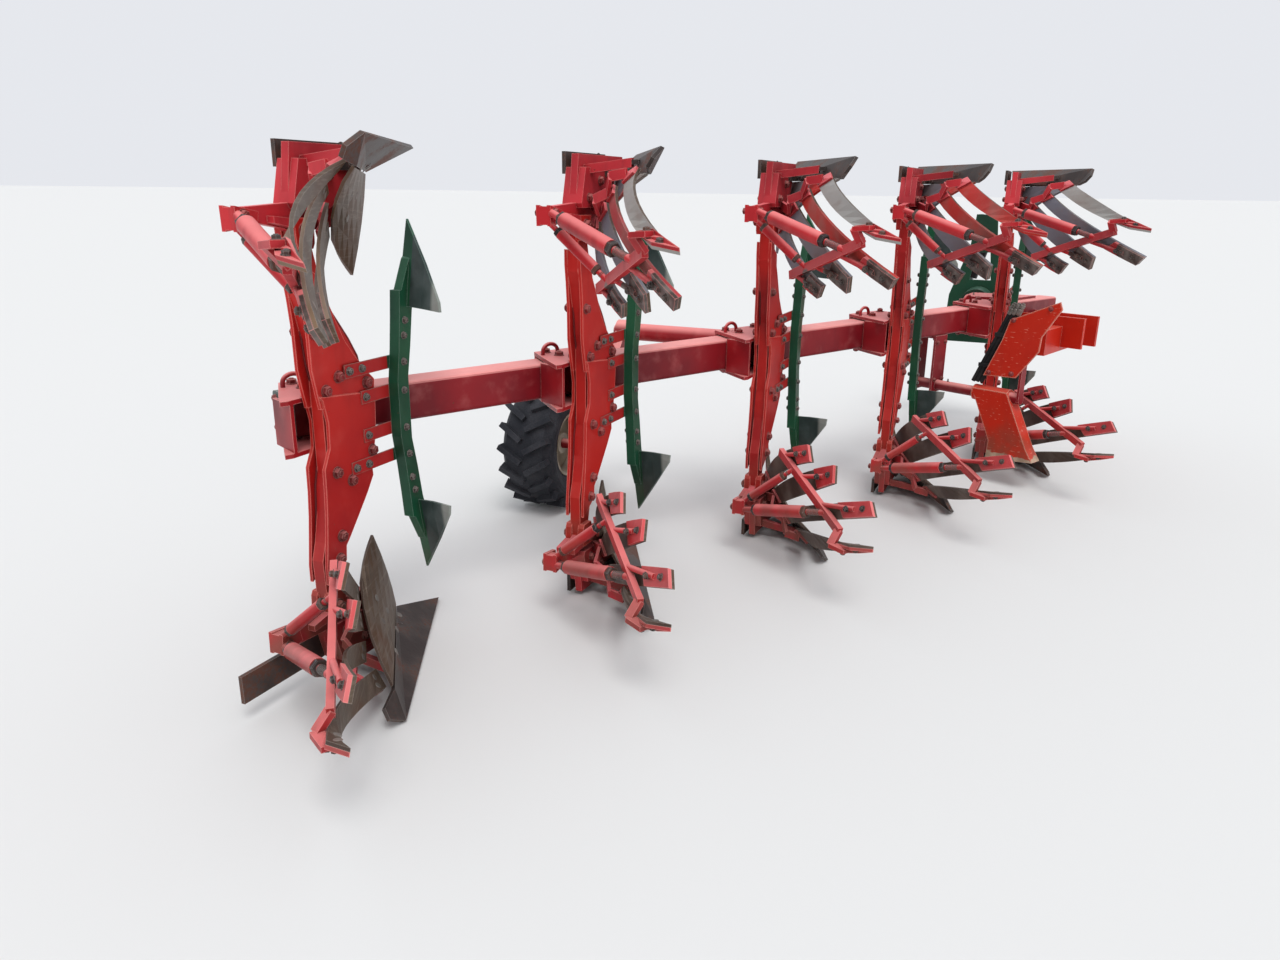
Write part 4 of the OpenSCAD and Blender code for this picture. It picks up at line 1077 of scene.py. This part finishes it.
# %% Turned parts
def ring_round(made, foot, stand, radius, height, segments):
    """The corners of one ring of a turned part, or its one corner on the line."""
    count = segments if radius > 0 else 1
    angles = [math.tau * step / segments for step in range(count)]
    points = [Vector((radius * math.cos(angle), radius * math.sin(angle), height)) for angle in angles]
    return [made.verts.new(foot + stand @ point) for point in points]


def turned(name, profile, places, finish, body, slot, segments=20):
    """Spins a profile of (radius, height) round each line of places. It starts and ends on the line."""
    mesh = bpy.data.meshes.new(name)
    made = bmesh.new()
    for foot, direction in places:
        stand = Vector(direction).to_track_quat("Z", "X").to_matrix()
        rings = [ring_round(made, Vector(foot), stand, *point, segments) for point in profile]
        for low, high in zip(rings, rings[1:]):
            for step in range(segments):
                after = (step + 1) % segments
                corners = [low[step % len(low)], low[after % len(low)],
                           high[after % len(high)], high[step % len(high)]]
                made.faces.new(list(dict.fromkeys(corners)))
    bmesh.ops.recalc_face_normals(made, faces=made.faces)
    made.to_mesh(mesh)
    made.free()
    mesh.materials.append(finish)
    piece = link(name, mesh)
    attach(piece, body)
    print(name, len(places), "turned parts,", len(mesh.polygons), "faces")


# %% Dust cap of the wheel's hub
CAP = [(0.0, -0.001), (0.052, -0.001), (0.052, 0.006), (0.044, 0.008), (0.042, 0.026),
       (0.034, 0.036), (0.0, 0.040)]
hub_face = seat("wheel_rim", WHEEL + Vector((0.040, 0.0, 0.0)), LEFT)[0]
hub_middle = Vector((WHEEL.x, hub_face.y, WHEEL.z))
turned("hub_cap", CAP, [(hub_middle, LEFT)], cap_grey, "wheel", "cap_paint", 32)

# %% Grease nipples on the pivots
NIPPLE = [(0.0, -0.001), (0.006, -0.001), (0.006, 0.005), (0.0035, 0.006), (0.0035, 0.011),
          (0.005, 0.013), (0.0035, 0.016), (0.0, 0.0165)]
PIVOTS = [("wheel_bracket", (0.221, 1.00, BEAM_HEIGHT)),
          ("turning_frame", TURN_AXIS + Vector((-0.40, 0, 0))),
          ("stand_bracket", along_beam(FRONT_LEG, -0.48, 0.02, -0.365))]
greased = []
for name, place in PIVOTS:
    seated = seat(name, place, UP)
    if seated:
        greased.append((seated[0], UP))
turned("grease_nipples", NIPPLE, greased, pin_bright, "frame", "pin_steel", 12)

# %% Crimped ends of the hoses
CRIMP = [(0.0, -0.004), (0.0125, -0.004), (0.0145, 0.000), (0.0145, 0.030), (0.0100, 0.034),
         (0.0100, 0.038), (0.0135, 0.040), (0.0135, 0.056), (0.0090, 0.058), (0.0090, 0.066), (0.0, 0.067)]
# The middle hose's ends: along the beam from the front leg, left of it and above its middle.
HOSE_TOP = (-0.495, -0.345, 0.100)
HOSE_FOOT = (-0.495, -0.175, -0.300)
HOSE_SPACING = 0.025
crimps = []
for step in (-HOSE_SPACING, 0.0, HOSE_SPACING):
    upper, lower = (along_beam(FRONT_LEG, u, v + step, z) for u, v, z in (HOSE_TOP, HOSE_FOOT))
    crimps.append((upper, (upper - lower).normalized()))
turned("hose_ends", CRIMP, crimps, pin_bright, "frame", "pin_steel")

# %% Ports of the turnover cylinder
PORT = [(0.0, -0.002), (0.017, -0.002), (0.017, 0.010), (0.012, 0.012), (0.012, 0.026), (0.015, 0.028),
        (0.015, 0.040), (0.0, 0.041)]
# The barrel leans. Level with the turning axis its middle line would be this far left of the
# axis, and each metre up brings it nearer by the lean.
BARREL_FOOT = 0.115
BARREL_LEAN = 0.29
ports = []
for height in (0.200, 0.330):
    place = TURN_AXIS + Vector((0.071, BARREL_FOOT - height * BARREL_LEAN, height))
    seated = seat("cylinder_barrel", place, FORWARD)
    if seated:
        ports.append((seated[0], FORWARD))
turned("cylinder_ports", PORT, ports, pin_bright, "cylinder_barrel", "pin_steel")

# %% [markdown]
# ## Bent rods
#
# A linch pin goes through the end of each lower link pin, with a ring that snaps over, and a rod
# bent into an eye stands on each clamp. They could be swept by a Geometry Nodes tree, as the
# seams are, but here each path is known and plain, so a curve with a bevel is shorter. It is
# made a mesh at the end, so that it can ride on its body.


# %% Wire
def wire(name, paths, thickness, finish, body):
    """One piece of several round rods, each a list of points and whether it closes."""
    curve = bpy.data.curves.new(name, "CURVE")
    curve.dimensions = "3D"
    curve.bevel_depth = thickness / 2
    curve.bevel_resolution = 3
    curve.use_fill_caps = True
    for points, closed in paths:
        spline = curve.splines.new("POLY")
        spline.points.add(len(points) - 1)
        spline.points.foreach_set("co", [value for point in points for value in (*point, 1.0)])
        spline.use_cyclic_u = closed
    drawn = link(name + "_curve", curve)
    mesh = bpy.data.meshes.new_from_object(drawn.evaluated_get(bpy.context.evaluated_depsgraph_get()))
    bpy.data.objects.remove(drawn)
    mesh.materials.clear()
    mesh.materials.append(finish)
    piece = link(name, mesh)
    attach(piece, body)
    print(name, len(paths), "wires,", len(mesh.polygons), "faces")


# %% Linch pins in the lower link pins
# The middle of the cross shaft, and how far from it the linch pins' holes are.
LINK_PINS = TURN_AXIS + Vector((0.065, 0.0, -0.220))
HOLE_DISTANCE = 0.520
RING_STEPS = 24
linch_pins = []
for side in (1, -1):
    middle = LINK_PINS + Vector((0.0, side * HOLE_DISTANCE, 0.0))
    linch_pins.append(([middle - 0.030 * UP, middle + 0.030 * UP], False))
    angles = [math.tau * step / RING_STEPS for step in range(RING_STEPS)]
    ring = [middle + Vector((0.022 * math.cos(angle), side * 0.004, 0.006 + 0.024 * math.sin(angle)))
            for angle in angles]
    linch_pins.append((ring, True))
wire("linch_pins", linch_pins, 0.0055, pin_bright, "headstock")

# %% Bent eyes on the clamps
EYE_HALF = 0.036
EYE_LEGS = 0.014
EYE_RISE = 0.028
EYE_STEPS = 12
eyes = []
for leg in LEGS:
    seated = seat(f"clamp_{leg + 1}", along_beam(leg, -0.118, 0.16, 0), UP)
    if seated:
        middle = seated[0]
        angles = [math.pi * step / EYE_STEPS for step in range(EYE_STEPS + 1)]
        arch = [middle + EYE_HALF * math.cos(angle) * BEAM_DIRECTION
                + (EYE_LEGS + EYE_RISE * math.sin(angle)) * UP for angle in angles]
        feet = [middle + side * EYE_HALF * BEAM_DIRECTION - 0.003 * UP for side in (1, -1)]
        eyes.append(([feet[0], *arch, feet[1]], False))
wire("clamp_eyes", eyes, 0.016, clamp_red, "frame")

# %% [markdown]
# ## Floor and light
#
# A plain pale floor catches the shadow, and is wide enough for its rim not to show. Lamps round
# the plough would give it hard bright spots. A soft sky from all sides and one large soft sun
# give the faces that look up their light tops, as on the cloudy day of the photograph.

# %% Floor and light
FAR = 600.0
floor_mesh = bpy.data.meshes.new("floor")
floor_corners = [(-FAR, -FAR, 0), (FAR, -FAR, 0), (FAR, FAR, 0), (-FAR, FAR, 0)]
floor_mesh.from_pydata(floor_corners, [], [(0, 1, 2, 3)])
floor = link("floor", floor_mesh)
floor_finish = Finish("floor")
floor_mesh.materials.append(floor_finish.use(linear(222, 222, 220), 0.9))
world = bpy.data.worlds.new("sky")
bpy.context.scene.world = world
world.use_nodes = True
sky = world.node_tree.nodes["Background"]
sky.inputs["Color"].default_value = (0.93, 0.95, 1.0, 1.0)
sky.inputs["Strength"].default_value = 0.85
sun_data = bpy.data.lights.new("sun", "SUN")
sun_data.energy = 1.5
sun_data.angle = 0.5
sun = bpy.data.objects.new("sun", sun_data)
sun.rotation_euler = Vector((-0.5, -0.35, 1.0)).to_track_quat("Z", "Y").to_euler()
bpy.context.scene.collection.objects.link(sun)
bpy.context.scene.view_settings.view_transform = "Standard"
print("floor", 2 * FAR, "m wide, sun of strength", round(sun_data.energy, 2))
